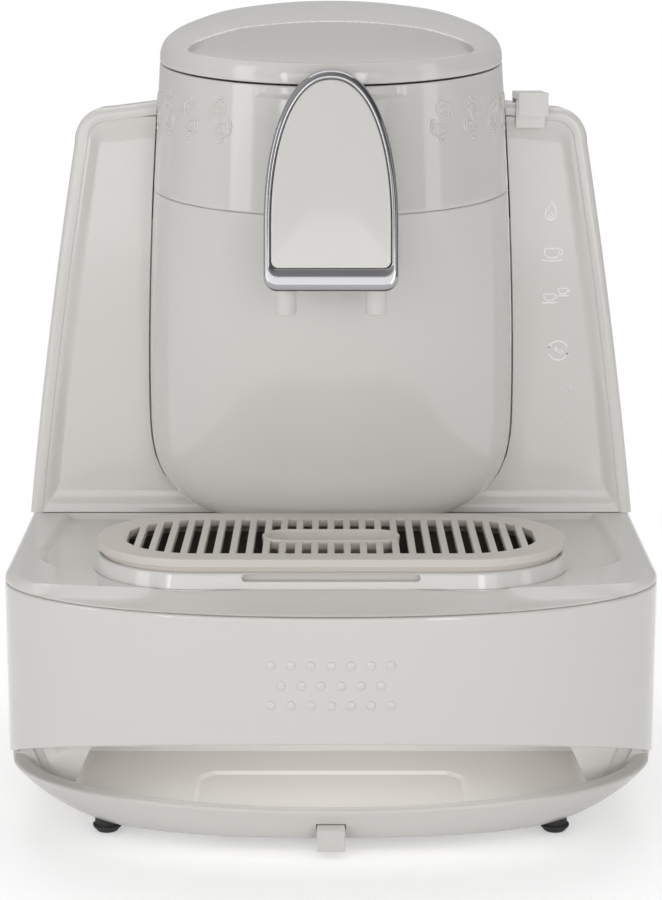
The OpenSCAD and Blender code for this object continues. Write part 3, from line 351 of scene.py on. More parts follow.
def even_normals(obj):
    """Lets large faces decide the shading, so flats stay flat beside rounded edges."""
    step = obj.modifiers.new("Normals", "WEIGHTED_NORMAL")
    step.keep_sharp = True
    step.weight = 60
    bake(obj)


def plate(name, outer, holes, depth, bevel, place):
    """Flat plate with rounded edges from outlines of (u, v); place puts (u, v, w) in the machine."""
    curve = bpy.data.curves.new(name, "CURVE")
    curve.dimensions = "2D"
    curve.fill_mode = "BOTH"
    curve.extrude = (depth / 2 - bevel) * MM
    curve.bevel_depth = bevel * MM
    curve.bevel_resolution = 2
    curve.offset = -bevel * MM
    for loop in [outer, *holes]:
        spline = curve.splines.new("POLY")
        spline.points.add(len(loop) - 1)
        for point, (u, v) in zip(spline.points, loop):
            point.co = (u * MM, v * MM, 0, 1)
        spline.use_cyclic_u = True
    shape = bpy.data.objects.new(name + "_curve", curve)
    bpy.context.scene.collection.objects.link(shape)
    deps = bpy.context.evaluated_depsgraph_get()
    mesh = bpy.data.meshes.new_from_object(shape.evaluated_get(deps))
    bpy.data.objects.remove(shape)
    bpy.data.curves.remove(curve)
    verts = [place((v.co.x / MM, v.co.y / MM, v.co.z / MM)) for v in mesh.vertices]
    faces = [tuple(p.vertices) for p in mesh.polygons]
    bpy.data.meshes.remove(mesh)
    return make_object(name, verts, faces, sharp=40)


def finish_piece(obj, body, nodes, slot="shell", look=None):
    """Gives a piece its finish and the body it rides on, and hides the CAD nodes it stands for."""
    obj.data.materials.clear()
    obj.data.materials.append((look or FINISHES[slot])())
    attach(obj, body)
    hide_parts(*nodes)


# ---------------------------------------------------------------- finishes

def new_group(name, inputs, outputs):
    """Empty shader node group with named sockets: (name, kind, default)."""
    group = bpy.data.node_groups.new(name, "ShaderNodeTree")
    for label, kind, default in inputs:
        socket = group.interface.new_socket(name=label, in_out="INPUT", socket_type=kind)
        socket.default_value = default
    for label, kind in outputs:
        group.interface.new_socket(name=label, in_out="OUTPUT", socket_type=kind)
    return group


def plug(tree, socket, value):
    """Gives an input a value, or links an output to it."""
    if isinstance(value, bpy.types.NodeSocket):
        tree.links.new(value, socket)
    else:
        socket.default_value = value


def add_node(tree, kind, inputs=None, **settings):
    """Node with its settings, then its inputs by name or place: values or links."""
    node = tree.nodes.new(kind)
    for key, value in settings.items():
        setattr(node, key, value)
    for key, value in (inputs or {}).items():
        plug(tree, node.inputs[key], value)
    return node


def noise(tree, scale, detail, coordinates=None):
    """Noise over the object's own coordinates."""
    coordinates = coordinates or add_node(tree, "ShaderNodeTexCoord").outputs["Object"]
    return add_node(tree, "ShaderNodeTexNoise", {
        "Vector": coordinates, "Scale": scale, "Detail": detail}).outputs["Fac"]


def math_node(tree, operation, *values, clamp=False):
    return add_node(tree, "ShaderNodeMath", dict(enumerate(values)), operation=operation,
                    use_clamp=clamp).outputs[0]


def mix_colour(tree, factor, a, b):
    return add_node(tree, "ShaderNodeMix", {0: factor, 6: a, 7: b},
                    data_type="RGBA").outputs[2]


def mix_shader(tree, factor, a, b):
    return add_node(tree, "ShaderNodeMixShader", {0: factor, 1: a, 2: b}).outputs[0]


def soft_range(tree, value, low, high):
    """Soft step of a value from 0 at low to 1 at high."""
    return add_node(tree, "ShaderNodeMapRange", {
        "Value": value, "From Min": low, "From Max": high},
        interpolation_type="SMOOTHSTEP").outputs["Result"]


EDGE_LEVEL = 0.53              # pointiness over which an edge begins to look worn
EDGE_GAIN = 9.0


def skin_group():
    """Moulded surface: slight drift of tone, soft wear at edges and a fine peel."""
    if "moulded_skin" in bpy.data.node_groups:
        return bpy.data.node_groups["moulded_skin"]
    group = new_group("moulded_skin", [
        ("Tone", "NodeSocketColor", (0.6, 0.6, 0.6, 1)),
        ("Worn Tone", "NodeSocketColor", (0.7, 0.7, 0.7, 1)),
        ("Sheen", "NodeSocketFloat", 0.25),
        ("Drift", "NodeSocketFloat", 0.02),
        ("Wear", "NodeSocketFloat", 0.2),
        ("Grain Scale", "NodeSocketFloat", 900.0),
        ("Wave", "NodeSocketFloat", 0.5),
    ], [("Colour", "NodeSocketColor"), ("Roughness", "NodeSocketFloat"),
        ("Height", "NodeSocketFloat")])
    start = add_node(group, "NodeGroupInput").outputs
    end = add_node(group, "NodeGroupOutput").inputs
    patch = math_node(group, "SUBTRACT", noise(group, 14.0, 4.0), 0.5)
    speck = noise(group, start["Grain Scale"], 2.0)
    wave = noise(group, 60.0, 1.0)
    shape = add_node(group, "ShaderNodeNewGeometry")
    edge = math_node(group, "SUBTRACT", shape.outputs["Pointiness"], EDGE_LEVEL)
    edge = math_node(group, "MULTIPLY", edge, EDGE_GAIN, clamp=True)
    worn = math_node(group, "MULTIPLY", edge, start["Wear"], clamp=True)
    lift = math_node(group, "ADD", math_node(group, "MULTIPLY", patch, start["Drift"]), 1.0)
    tint = add_node(group, "ShaderNodeVectorMath", {0: start["Tone"], "Scale": lift},
                    operation="SCALE")
    plug(group, end["Colour"], mix_colour(group, worn, tint.outputs[0], start["Worn Tone"]))
    blur = math_node(group, "MULTIPLY_ADD", patch, 0.05, start["Sheen"])
    fine = math_node(group, "SUBTRACT", speck, 0.5)
    plug(group, end["Roughness"], math_node(group, "MULTIPLY_ADD", fine, 0.03, blur, clamp=True))
    long_wave = math_node(group, "MULTIPLY", wave, start["Wave"])
    plug(group, end["Height"], math_node(group, "ADD", long_wave, speck))
    return group


def brushed_group():
    """Drawn or turned metal: long fine lines in the finish and smudges in the polish."""
    if "drawn_metal" in bpy.data.node_groups:
        return bpy.data.node_groups["drawn_metal"]
    group = new_group("drawn_metal", [
        ("Tone", "NodeSocketColor", (0.7, 0.7, 0.7, 1)),
        ("Dull Tone", "NodeSocketColor", (0.5, 0.5, 0.5, 1)),
        ("Sheen", "NodeSocketFloat", 0.2),
        ("Line Scale", "NodeSocketFloat", 900.0),
        ("Smudge", "NodeSocketFloat", 0.15),
    ], [("Colour", "NodeSocketColor"), ("Roughness", "NodeSocketFloat"),
        ("Height", "NodeSocketFloat")])
    start = add_node(group, "NodeGroupInput").outputs
    end = add_node(group, "NodeGroupOutput").inputs
    place = add_node(group, "ShaderNodeTexCoord").outputs["Object"]
    squeeze = add_node(group, "ShaderNodeVectorMath", {0: place, 1: (0.05, 1.0, 1.0)},
                       operation="MULTIPLY")
    lines = noise(group, start["Line Scale"], 2.0, squeeze.outputs[0])
    amount = math_node(group, "MULTIPLY", noise(group, 30.0, 4.0), start["Smudge"])
    plug(group, end["Colour"], mix_colour(group, amount, start["Tone"], start["Dull Tone"]))
    plug(group, end["Roughness"], math_node(group, "ADD", amount, start["Sheen"], clamp=True))
    plug(group, end["Height"], lines)
    return group


def finish(name, group, values, bump, metallic=0.0, coat=0.0, transmission=0.0):
    """Material whose colour, roughness and bump come from one of the groups."""
    if name in bpy.data.materials:
        return bpy.data.materials[name]
    material = bpy.data.materials.new(name)
    material.use_nodes = True
    tree = material.node_tree
    surface = add_node(tree, "ShaderNodeGroup", node_tree=group)
    for key, value in values.items():
        surface.inputs[key].default_value = value
    strength, depth = bump
    relief = add_node(tree, "ShaderNodeBump", {
        "Strength": strength, "Distance": depth * MM, "Height": surface.outputs["Height"]})
    for key, value in {
            "Base Color": surface.outputs["Colour"], "Roughness": surface.outputs["Roughness"],
            "Normal": relief.outputs["Normal"], "Metallic": metallic, "Coat Weight": coat,
            "Coat Roughness": 0.08, "Transmission Weight": transmission, "IOR": 1.46}.items():
        plug(tree, tree.nodes["Principled BSDF"].inputs[key], value)
    return material


def skin(name, tone, sheen=0.25, worn=None, drift=0.03, wear=0.04, grain=900.0, wave=0.5,
         bump=(0.03, 0.015), **extra):
    """Plastic or rubber; unless given, the worn tone is a little lighter than the tone."""
    worn = worn or tuple(min(c * 1.12, 1) for c in tone)
    return finish(name, skin_group(), {
        "Tone": (*tone, 1), "Worn Tone": (*worn, 1), "Sheen": sheen, "Drift": drift,
        "Wear": wear, "Grain Scale": grain, "Wave": wave}, bump, **extra)


def metal(name, tone, sheen, dull, lines=900.0, smudge=0.12, bump=(0.04, 0.01)):
    """Drawn, turned or plated metal."""
    return finish(name, brushed_group(), {
        "Tone": (*tone, 1), "Dull Tone": (*dull, 1), "Sheen": sheen, "Line Scale": lines,
        "Smudge": smudge}, bump, metallic=1.0)


def colours():
    """The user's colours."""
    return bpy.context.scene.coffee_colours


def tone(prop):
    """One of the user's colours by name."""
    return tuple(getattr(colours(), prop))


def shell_plastic():
    return skin("shell_plastic", tone("shell"), sheen=colours().shell_sheen, coat=0.3)


# Darker copy of the shell plastic for the lid's finger scoop: painted shade, since the scoop is the
# same moulding as the rest of the lid
def scoop_plastic():
    return skin("scoop_plastic", tuple(0.62 * c for c in tone("shell")), sheen=0.16, wear=0.0)


# The lining's tone is lighter than the shell: partly its own plastic colour and partly painted light
# that brightens the shaded store
def liner_plastic():
    return skin("liner_plastic", tone("liner"), sheen=0.12)


def deck_plastic():
    return skin("deck_plastic", tone("shell"), sheen=colours().shell_sheen + 0.06, wear=0.0)


def grill_plastic():
    return skin("grill_plastic", tone("grill"), sheen=0.42, grain=2600.0, wave=0.1,
                bump=(0.5, 0.06))


def inner_plastic():
    return skin("inner_plastic", tone("inner"), sheen=0.4, grain=1500.0, bump=(0.15, 0.03))


# Dark brown copy of the tray's plastic for its inside faces: painted shade of the deep tray
def tray_inside():
    return skin("tray_inside", (0.16, 0.145, 0.125), sheen=0.5, grain=1400.0, bump=(0.2, 0.04))


def black_plastic():
    return skin("black_plastic", tone("dark"), sheen=0.38, worn=(0.09, 0.09, 0.09),
                grain=1600.0, bump=(0.3, 0.04))


def rubber_skin():
    return skin("rubber_skin", (0.022, 0.022, 0.023), sheen=0.7, worn=(0.06, 0.06, 0.06),
                grain=1800.0, bump=(0.4, 0.05), wear=0.5)


def silicone_skin():
    return skin("silicone_skin", (0.62, 0.61, 0.58), sheen=0.5, grain=1200.0)


def chrome_plate():
    return metal("chrome_plate", tone("chrome"), 0.07, (0.34, 0.34, 0.34), lines=300.0,
                 smudge=0.08, bump=(0.01, 0.005))


def steel_sheet():
    return metal("steel_sheet", (0.62, 0.62, 0.61), 0.22, (0.45, 0.44, 0.43), bump=(0.12, 0.02))


def cast_aluminium():
    return metal("cast_aluminium", (0.66, 0.67, 0.68), 0.42, (0.5, 0.5, 0.5), lines=260.0,
                 bump=(0.3, 0.05))


def white_ink():
    return skin("white_ink", (0.93, 0.93, 0.92), sheen=0.4, wear=0.0, drift=0.01)


def light_pipe():
    return skin("light_pipe", (0.22, 0.22, 0.23), sheen=0.2, wear=0.0, coat=0.4)


def clear_tank():
    return skin("clear_tank", (0.80, 0.83, 0.86), sheen=0.12, drift=0.01, wear=0.0,
                transmission=0.9)


def float_orange():
    return skin("float_orange", (0.75, 0.26, 0.05), sheen=0.4)


def board_green():
    return skin("board_green", (0.03, 0.16, 0.07), sheen=0.35, worn=(0.25, 0.2, 0.08),
                drift=0.3, grain=700.0, bump=(0.5, 0.1), wear=0.6)


FINISHES = {
    "shell": shell_plastic, "inner_plastic": inner_plastic, "chrome": chrome_plate,
    "steel": steel_sheet, "rubber": rubber_skin, "silicone": silicone_skin,
    "ink": white_ink, "light_pipe": light_pipe, "black_plastic": black_plastic,
    "tank_clear": clear_tank, "float_orange": float_orange, "board": board_green,
    "aluminium": cast_aluminium,
}


# ---------------------------------------------------------------- base

HULL_FLAT = 0.72               # share of the width that the flat bottom keeps
HULL_ROUND = 1.35              # squareness of the hull's curve from the bottom to the bilge
HULL_BACK = 18                 # how far its ends would draw in if the width went to nothing


def hull_ring(level, inset):
    """Outline of the lower hull at a level from 0 (bottom) to 1 (widest line)."""
    k = lerp(HULL_FLAT, 1, (1 - (1 - level) ** HULL_ROUND) ** (1 / HULL_ROUND))
    back = HULL_BACK * (1 - k)
    return plan(HALF_WIDTH * k - inset, LIP_Y + back + inset, BOW_Y + inset / 2,
                REAR_Y - back - inset, max(REAR_CORNER * k - inset, 6), SIDE_FLARE * k)


LATCH_HALF = 5.6               # half width of the service latch


def screw_hole(x, z):
    """Countersink for a screw's head in the back."""
    return rod((x, REAR_Y - 1.7, z), (x, REAR_Y + 1, z), 3.2)


def mouth_z(y):
    """Height of the hull's sloping rim under the drawer."""
    return lerp(LIP_Z, BILGE_Z, min(max((y - LIP_Y) / (DRAWER_SIDE_Y - LIP_Y), 0), 1))


def hull_stack(inset):
    """Rings of the hull from the bottom to the bilge, with two points a hair apart at the drawer."""
    hair = 0.12
    rings = []
    for v in (0, 0.01, 0.03, 0.06, 0.11, 0.17, 0.25, 0.35, 0.47, 0.6, 0.75, 0.9, 1):
        z = lerp(HULL_Z + inset, BILGE_Z, v)
        rings.append([(x, y, z) for x, y in hull_ring(v, inset)])
    widest = [y for x, y in hull_ring(1, 0)]
    ends = [(i, y, widest[(i + 1) % len(widest)]) for i, y in enumerate(widest)]
    for i, y0, y1 in reversed(ends):
        if (y0 < DRAWER_SIDE_Y) == (y1 < DRAWER_SIDE_Y):
            continue
        t = (DRAWER_SIDE_Y - y0) / (y1 - y0)
        for ring in rings:
            a, b = ring[i], ring[(i + 1) % len(ring)]
            ring[i + 1:i + 1] = [between(a, b, t + s * hair / abs(y1 - y0)) for s in (-1, 1)]
    return rings


def hull_column(rings, i, top):
    """Points of one column of the hull up to a height, always equally many."""
    path = [ring[i] for ring in rings]
    path.append((*path[-1][:2], SEAM_Z - GAP))
    out = []
    for k in range(15):
        z = lerp(path[0][2], top, (k / 14) ** 1.5)
        j = max(1, next((m for m, p in enumerate(path) if p[2] >= z), len(path) - 1))
        a, b = path[j - 1], path[j]
        out.append(between(a, b, (z - a[2]) / max(b[2] - a[2], 1e-6)))
    return out


def build_hull():
    """Lower hull with its sloping mouth, and the openings for what is fixed to it."""
    outer, inner, rim = hull_stack(0), hull_stack(WALL), hull_stack(WALL + 3.4)
    # (share of the way across the edge, drop) over the mouth's rim and over the seam
    mouth_edge = ((0.04, 0.35), (0.12, 0.08), (0.22, 0), (0.78, 0), (0.92, 0.1), (1, 0.6))
    seam_edge = ((0.1, 0.1), (0.25, 0), (0.5, 0), (0.7, 0), (0.75, 0), (0.8, 0), (0.9, 0.1),
                 (0.97, 0.25))
    columns = []
    for i, (_, y, _) in enumerate(outer[-1]):
        front = y < DRAWER_SIDE_Y
        top = mouth_z(y) if front else SEAM_Z - GAP
        out_path = hull_column(outer, i, top - (0.9 if front else 0.4))
        in_path = hull_column(inner, i, top - (4.2 if front else 0.4))
        start = out_path[-1][:2]
        end = (hull_column(rim, i, top) if front else in_path)[-1][:2]
        edge = [(*between(start, end, t), top - drop)
                for t, drop in (mouth_edge if front else seam_edge)]
        if front:
            edge += [(*end, top - 3.0), (*between(end, in_path[-1][:2], 0.5), top - 3.6)]
        columns.append(out_path + edge + in_path[::-1])
    obj = make_object("hull", *rings_mesh(list(zip(*columns))), sharp=38)
    cord_x, cord_z = CORD_PLACE
    switch_x, switch_z = SWITCH_PLACE
    back = (REAR_Y - 10, REAR_Y + 1)
    cut(obj, block(-46, 46, LIP_Y + 14, REAR_Y - 40, -1, 6.5),
        block(-42, 42, LIP_Y + 18, REAR_Y - 44, 0, 24),
        block(-LATCH_HALF - GAP, LATCH_HALF + GAP, LIP_Y - 5, LIP_Y + 12, 7.9, 10.7),
        rod((cord_x, back[0], cord_z), (cord_x, back[1], cord_z), 6.5),
        block(switch_x - 10.5, switch_x + 10.5, *back, switch_z - 7.5, switch_z + 7.5),
        *[rod((x, y, -1), (x, y, 11.4), FOOT_R + 0.05) for x, y in FOOT_PLACES],
        *[screw_hole(x, SEAM_Z - 8) for x in (-60, 60)], sharp=38)
    finish_piece(obj, "machine", ["base_tub"])


STORE_FLOOR = 14
STORE_BACK = TOWER_Y - 46
STORE_FRONT = BOW_Y + 5


def build_liner():
    """Moulded lining of the store: sloping side walls, floor with a shallow recess."""
    wall = [(101.6, 28.5), (93, 45), (88.6, 57)]
    outside = [(-111, STORE_FLOOR - 2.2), (111, STORE_FLOOR - 2.2)] + mirrored(
        [(111, STORE_FLOOR + 0.2), (108.6, STORE_FLOOR + 0.8), *wall, (88.6, 59)])
    obj = make_object("storage_lining", *prism(outside, STORE_FRONT, STORE_BACK + 2))
    corner = [(-105.4, STORE_FLOOR + 1.4), (-104, STORE_FLOOR + 0.3), (-102, STORE_FLOOR)]
    inside = corner + [(-x, z) for x, z in corner[::-1]]
    inside += mirrored([(99.8, 28), (91.2, 45), (87, 56.8)])
    cut(obj, prism(inside, -140, STORE_BACK))
    apron = bow(103.6, LIP_Y + WALL + 1.4, BOW_Y, steps=64)
    apron += [(103.6, BOW_Y + 6), (-103.6, BOW_Y + 6)]
    cut(obj, rings_mesh([[(x, y, z) for x, y in apron] for z in (STORE_FLOOR - 2.2, STORE_FLOOR)]),
        operation="UNION")
    end_wall = [(107.5, STORE_FLOOR + 0.4), *wall[:2], (88.6, 58), (126.5, 58), (126.5, 26),
                (121, 18), (115, STORE_FLOOR + 0.4)]
    for s in (-1, 1):
        cut(obj, prism([(s * x, z) for x, z in end_wall][::s], STORE_FRONT, STORE_FRONT + 1.6),
            operation="UNION")
    y0, y1 = LIP_Y + 8, LIP_Y + 58
    recess = [(-57, y0), (57, y0)] + mirrored([(57, y1 - 9), (55, y1 - 4), (50, y1)])
    low = [(x * 0.95, lerp(y, (y0 + y1) / 2, 0.05), STORE_FLOOR - 1.4) for x, y in recess]
    cut(obj, rings_mesh([low, [(x, y, STORE_FLOOR + 1) for x, y in recess]]))
    soften(obj, 0.5, 2)
    # the lining's material is partly its own tone and partly painted light for the shaded store
    finish_piece(obj, "machine", ["storage_liner"], "inner_plastic", liner_plastic)


def build_latch():
    """Bent tongue of the service cover's latch under the front lip."""
    outline = [(LIP_Y - 4.8, 1.9), (LIP_Y - 1.5, 1.9), (LIP_Y - 1.5, 8.2), (LIP_Y + 11, 8.2),
               (LIP_Y + 11, 10.4), (LIP_Y - 4.2, 10.4), (LIP_Y - 4.8, 9.8)]
    rings = [[(x, y, z) for y, z in outline] for x in (-LATCH_HALF, LATCH_HALF)]
    obj = make_object("cover_latch", *rings_mesh(rings))
    soften(obj, 0.45, 3)
    finish_piece(obj, "latch", ["base_latch"])


def build_feet():
    """Four rubber feet with a hollow sole and a plug that fills the hull's hole."""
    sole = [(0, 0.7), (2.2, 0.7), (2.6, 0.3), (3.4, 0), (4.2, 0.1), (4.6, 0.6), (5.6, 1.7),
            (5.9, 2.2), (5.9, 2.8), (5.6, 3)]
    plug = [(FOOT_R, 3.1), (FOOT_R, 10.1), (0, 10.1)]
    obj = make_object("rubber_feet", *joined(
        *[lathe(sole + plug, 48, lambda p, x=x, y=y: (p[0] + x, p[1] + y, p[2]))
          for x, y in FOOT_PLACES]))
    finish_piece(obj, "machine", ["feet"], "rubber")


DOT_PITCH = 7.55               # between the grip dots on the drawer


def build_drawer_front():
    """Bowed front of the waste drawer, with its edges rounded over."""
    a, thick = HALF_WIDTH - SIDE_FLARE, 3.0
    top, end = SEAM_Z - GAP, DRAWER_SIDE_Y - GAP
    outer = np.array([(-a - 0.14, end), *bow(a, FRONT_Y, BOW_Y, steps=240), (a + 0.14, end)])
    along = np.gradient(outer, axis=0)
    normal = np.stack([along[:, 1], -along[:, 0]], axis=1)
    normal /= np.linalg.norm(normal, axis=1)[:, None]
    # (inset from the face, share of the height, lift) round the panel's section
    section = [(1.5, 0, 0), (0.7, 0, 0.1), (0.25, 0, 0.4), (0.04, 0, 0.9), (0, 0, 1.5)]
    section += [(0, k / 10, 0) for k in range(1, 10)]
    section += [(0, 1, -1.5), (0.04, 1, -0.9), (0.25, 1, -0.4), (0.7, 1, -0.1), (1.5, 1, 0),
                (thick - 0.3, 1, 0), (thick, 1, -0.3)]
    section += [(thick, 0.5, 0), (thick, 0, 0.3), (thick - 0.3, 0, 0)]
    rings = []
    for (x, y), (nx, ny) in zip(outer, normal):
        low = DRAWER_LOW - MOUTH_SLOPE * (y - FRONT_Y)
        rings.append([(x - nx * inset, y - ny * inset, lerp(low, top, share) + lift)
                      for inset, share, lift in section])
    parts = [rings_mesh(rings)]
    dome = [(1.9, -0.6), (1.85, 0.02), (1.6, 0.2), (1.2, 0.36), (0.7, 0.46), (0, 0.5)]
    middle = (SEAM_Z + DRAWER_LOW) / 2 - 1.6
    upright = Matrix.Rotation(math.radians(90), 4, "X")
    # three rows of grip dots, the middle one shifted by half a pitch
    for row in (-1, 0, 1):
        for k in range(-3, 3 if row == 0 else 4):
            x = (k + (0.5 if row == 0 else 0)) * DOT_PITCH
            y = bow_at(x, a, FRONT_Y, BOW_Y)
            lean = math.atan((bow_at(x + 0.5, a, FRONT_Y, BOW_Y) - y) / 0.5)
            spot = Matrix.Translation((x, y, middle + row * (DOT_PITCH + 0.2)))
            spot = spot @ Matrix.Rotation(lean, 4, "Z") @ upright
            parts.append(lathe(dome, 32, lambda p, m=spot: tuple(m @ Vector(p))))
    obj = make_object("drawer_panel", *joined(*parts), sharp=50)
    even_normals(obj)
    finish_piece(obj, "drawer", ["drawer_front"])


def star_radius(loop, angle):
    """Distance from the tray's middle to a closed outline along an angle."""
    dx, dy = math.cos(angle), math.sin(angle)
    best = 0.0
    for (x0, y0), (x1, y1) in zip(loop, loop[1:] + loop[:1]):
        ex, ey = x1 - x0, y1 - y0
        det = dx * ey - dy * ex
        if abs(det) < 1e-12:
            continue
        t = (x0 * ey - (y0 - TRAY_Y) * ex) / det
        s = (x0 * dy - (y0 - TRAY_Y) * dx) / det
        if t > 0 and -1e-9 <= s <= 1 + 1e-9:
            best = max(best, t)
    return best


PAN_Z = DECK_Z - 11            # floor of the pocket that holds the tray
CREASE_TIP = (115.7, -99.3)    # (x, y) where the front slope runs out at the edge
CREASE_MID = FRONT_Y + 21      # where it begins in the middle


def crease_y(x):
    """Depth of the crease where the deck's front slope begins."""
    return CREASE_MID + (CREASE_TIP[1] - CREASE_MID) * (x / CREASE_TIP[0]) ** 2


WELL_BACK = TOWER_Y - 4.6      # the saucer's back edge, under the shield
WELL_BACK_X = 117


def deck_edge(dx, dy, r_out):
    """Slope or shoulder at the deck's edge in one direction, as (way in, height)."""
    x_out, y_out = r_out * dx, TRAY_Y + r_out * dy
    low = SEAM_Z + 0.35
    if dy < 0 and abs(x_out) < CREASE_TIP[0] and y_out < CREASE_TIP[1] + 1:
        r_edge = r_out
        for _ in range(12):
            r_edge = (crease_y(r_edge * dx) - TRAY_Y) / dy
        width = r_out - min(r_edge, r_out - 0.02)
        return [(width * s, lerp(low + 0.25, DECK_Z, s ** 1.75))
                for s in (0.06, 0.15, 0.3, 0.45, 0.6, 0.72, 0.82, 0.9, 0.96, 0.99, 1)]
    away = math.hypot(abs(x_out) - CREASE_TIP[0], y_out - CREASE_TIP[1])
    width = lerp(0.3, 6.5, smooth(away / 26))
    return [(width * (1 - math.cos(t)), low + (DECK_Z - low) * math.sin(t))
            for t in (math.pi / 2 * k / 11 for k in range(1, 12))]


def build_deck():
    """Deck plate: rounded shoulder, crescent slope at the front and a saucer round the tray."""
    outline = plan(HALF_WIDTH, FRONT_Y, BOW_Y, REAR_Y, REAR_CORNER)
    well = bow(120, TRAY_Y - 18.5, -35, n=3.7, steps=64)
    well += mirrored([(118.6, 0), (WELL_BACK_X, WELL_BACK)])
    notch, bore, sill = ([(x, y + TRAY_Y) for x, y in stadium(TRAY_HALF, TRAY_R + more)]
                         for more in (1.9, -2, 0))
    tip = math.atan2(CREASE_TIP[1] - TRAY_Y, CREASE_TIP[0])
    corners = [tip % math.tau, (math.pi - tip) % math.tau]
    corners += [math.atan2(WELL_BACK - TRAY_Y, s * WELL_BACK_X) for s in (1, -1)]
    angles = sorted({round(a, 7) for a in [math.tau * k / 720 for k in range(720)] + corners})
    columns = []
    for angle in angles:
        dx, dy = math.cos(angle), math.sin(angle)
        r_out, r_well, r_notch, r_bore, r_sill = (
            star_radius(loop, angle) for loop in (outline, well, notch, bore, sill))
        rim = deck_edge(dx, dy, r_out)
        r_in = max(r_well, r_notch)
        slope = min(max(r_well - r_notch, 0.15), 5.0)
        r_edge = r_out - rim[-1][0]
        path = [(r_out - 0.3, SEAM_Z), (r_out, SEAM_Z + 0.3)]
        path += [(r_out - w, z) for w, z in rim]
        path += [(r_edge - 0.25, DECK_Z), (lerp(r_edge, r_in, 0.5), DECK_Z), (r_in + 0.3, DECK_Z)]
        path += [(r_in - slope * k / 8, lerp(DECK_Z, WELL_Z, smooth(k / 8))) for k in range(9)]
        path += [(max(r_in - slope - 0.3, r_bore + 0.05), WELL_Z), (r_bore, WELL_Z),
                 (r_bore, PAN_Z), (9, PAN_Z), (9, PAN_Z - 1.6), (r_sill, PAN_Z - 1.6),
                 (r_sill, SEAM_Z)]
        columns.append([(r * dx, TRAY_Y + r * dy, z) for r, z in path])
    obj = make_object("deck", *rings_mesh(list(zip(*columns)), loop=True), sharp=50)
    cut(obj, block(-60, 60, TOWER_Y + 4, REAR_Y - 12, 90, 120),
        block(-HALF_WIDTH + 20, HALF_WIDTH - 20, TOWER_Y + 24, REAR_Y - 20, 90, 120), sharp=50)
    even_normals(obj)
    finish_piece(obj, "machine", ["deck_plate"], look=deck_plastic)


def build_tray():
    """Drip tray with a rolled rim, a ledge for the grill and an overflow slot in its front."""
    rim = WELL_Z + 8.5
    foot = WELL_Z + 0.1
    low = PAN_Z + 0.4
    profile = [(4, low), (TRAY_R - 3.5, low), (TRAY_R - 2.5, low + 1), (TRAY_R - 2.5, foot),
               (TRAY_R + 1.4, foot)]
    profile += [between((TRAY_R + 1.6, foot + 0.3), (TRAY_R + 0.1, rim - 1), k / 8)
                for k in range(9)]
    profile += [(TRAY_R - 0.05, rim - 0.55), (TRAY_R - 0.4, rim - 0.15), (TRAY_R - 0.9, rim),
                (TRAY_R - 1.6, rim - 0.1), (TRAY_R - 1.8, rim - 0.4), (TRAY_R - 1.8, rim - 1.4),
                (TRAY_R - 4.3, rim - 1.5), (TRAY_R - 4.5, rim - 1.8), (TRAY_R - 4.5, low + 4),
                (TRAY_R - 5.2, low + 2.4), (TRAY_R - 7, low + 1.8), (4, low + 1.8)]
    obj = make_object("drip_tray_body", *stadium_lathe(profile, TRAY_HALF))
    slot = [(x, z + rim - 1.95) for x, z in stadium(34.3 - 1.45, 1.45, 12)]
    cut(obj, prism(slot, TRAY_Y - TRAY_R - 5, TRAY_Y - TRAY_R + 3.4),
        rod((0, TRAY_Y, 90), (0, TRAY_Y, 110), 4), sharp=40)
    even_normals(obj)
    finish_piece(obj, "tray", ["drip_tray"])
    # the faces inside the tray, below its rim, take the painted shade
    obj.data.materials.append(tray_inside())
    for face in obj.data.polygons:
        x, y, z = face.center / MM
        reach = math.hypot(max(abs(x) - TRAY_HALF, 0), y - TRAY_Y)
        if z < rim - 1.55 and reach < TRAY_R - 3.9 and z > low + 1.5:
            face.material_index = 1


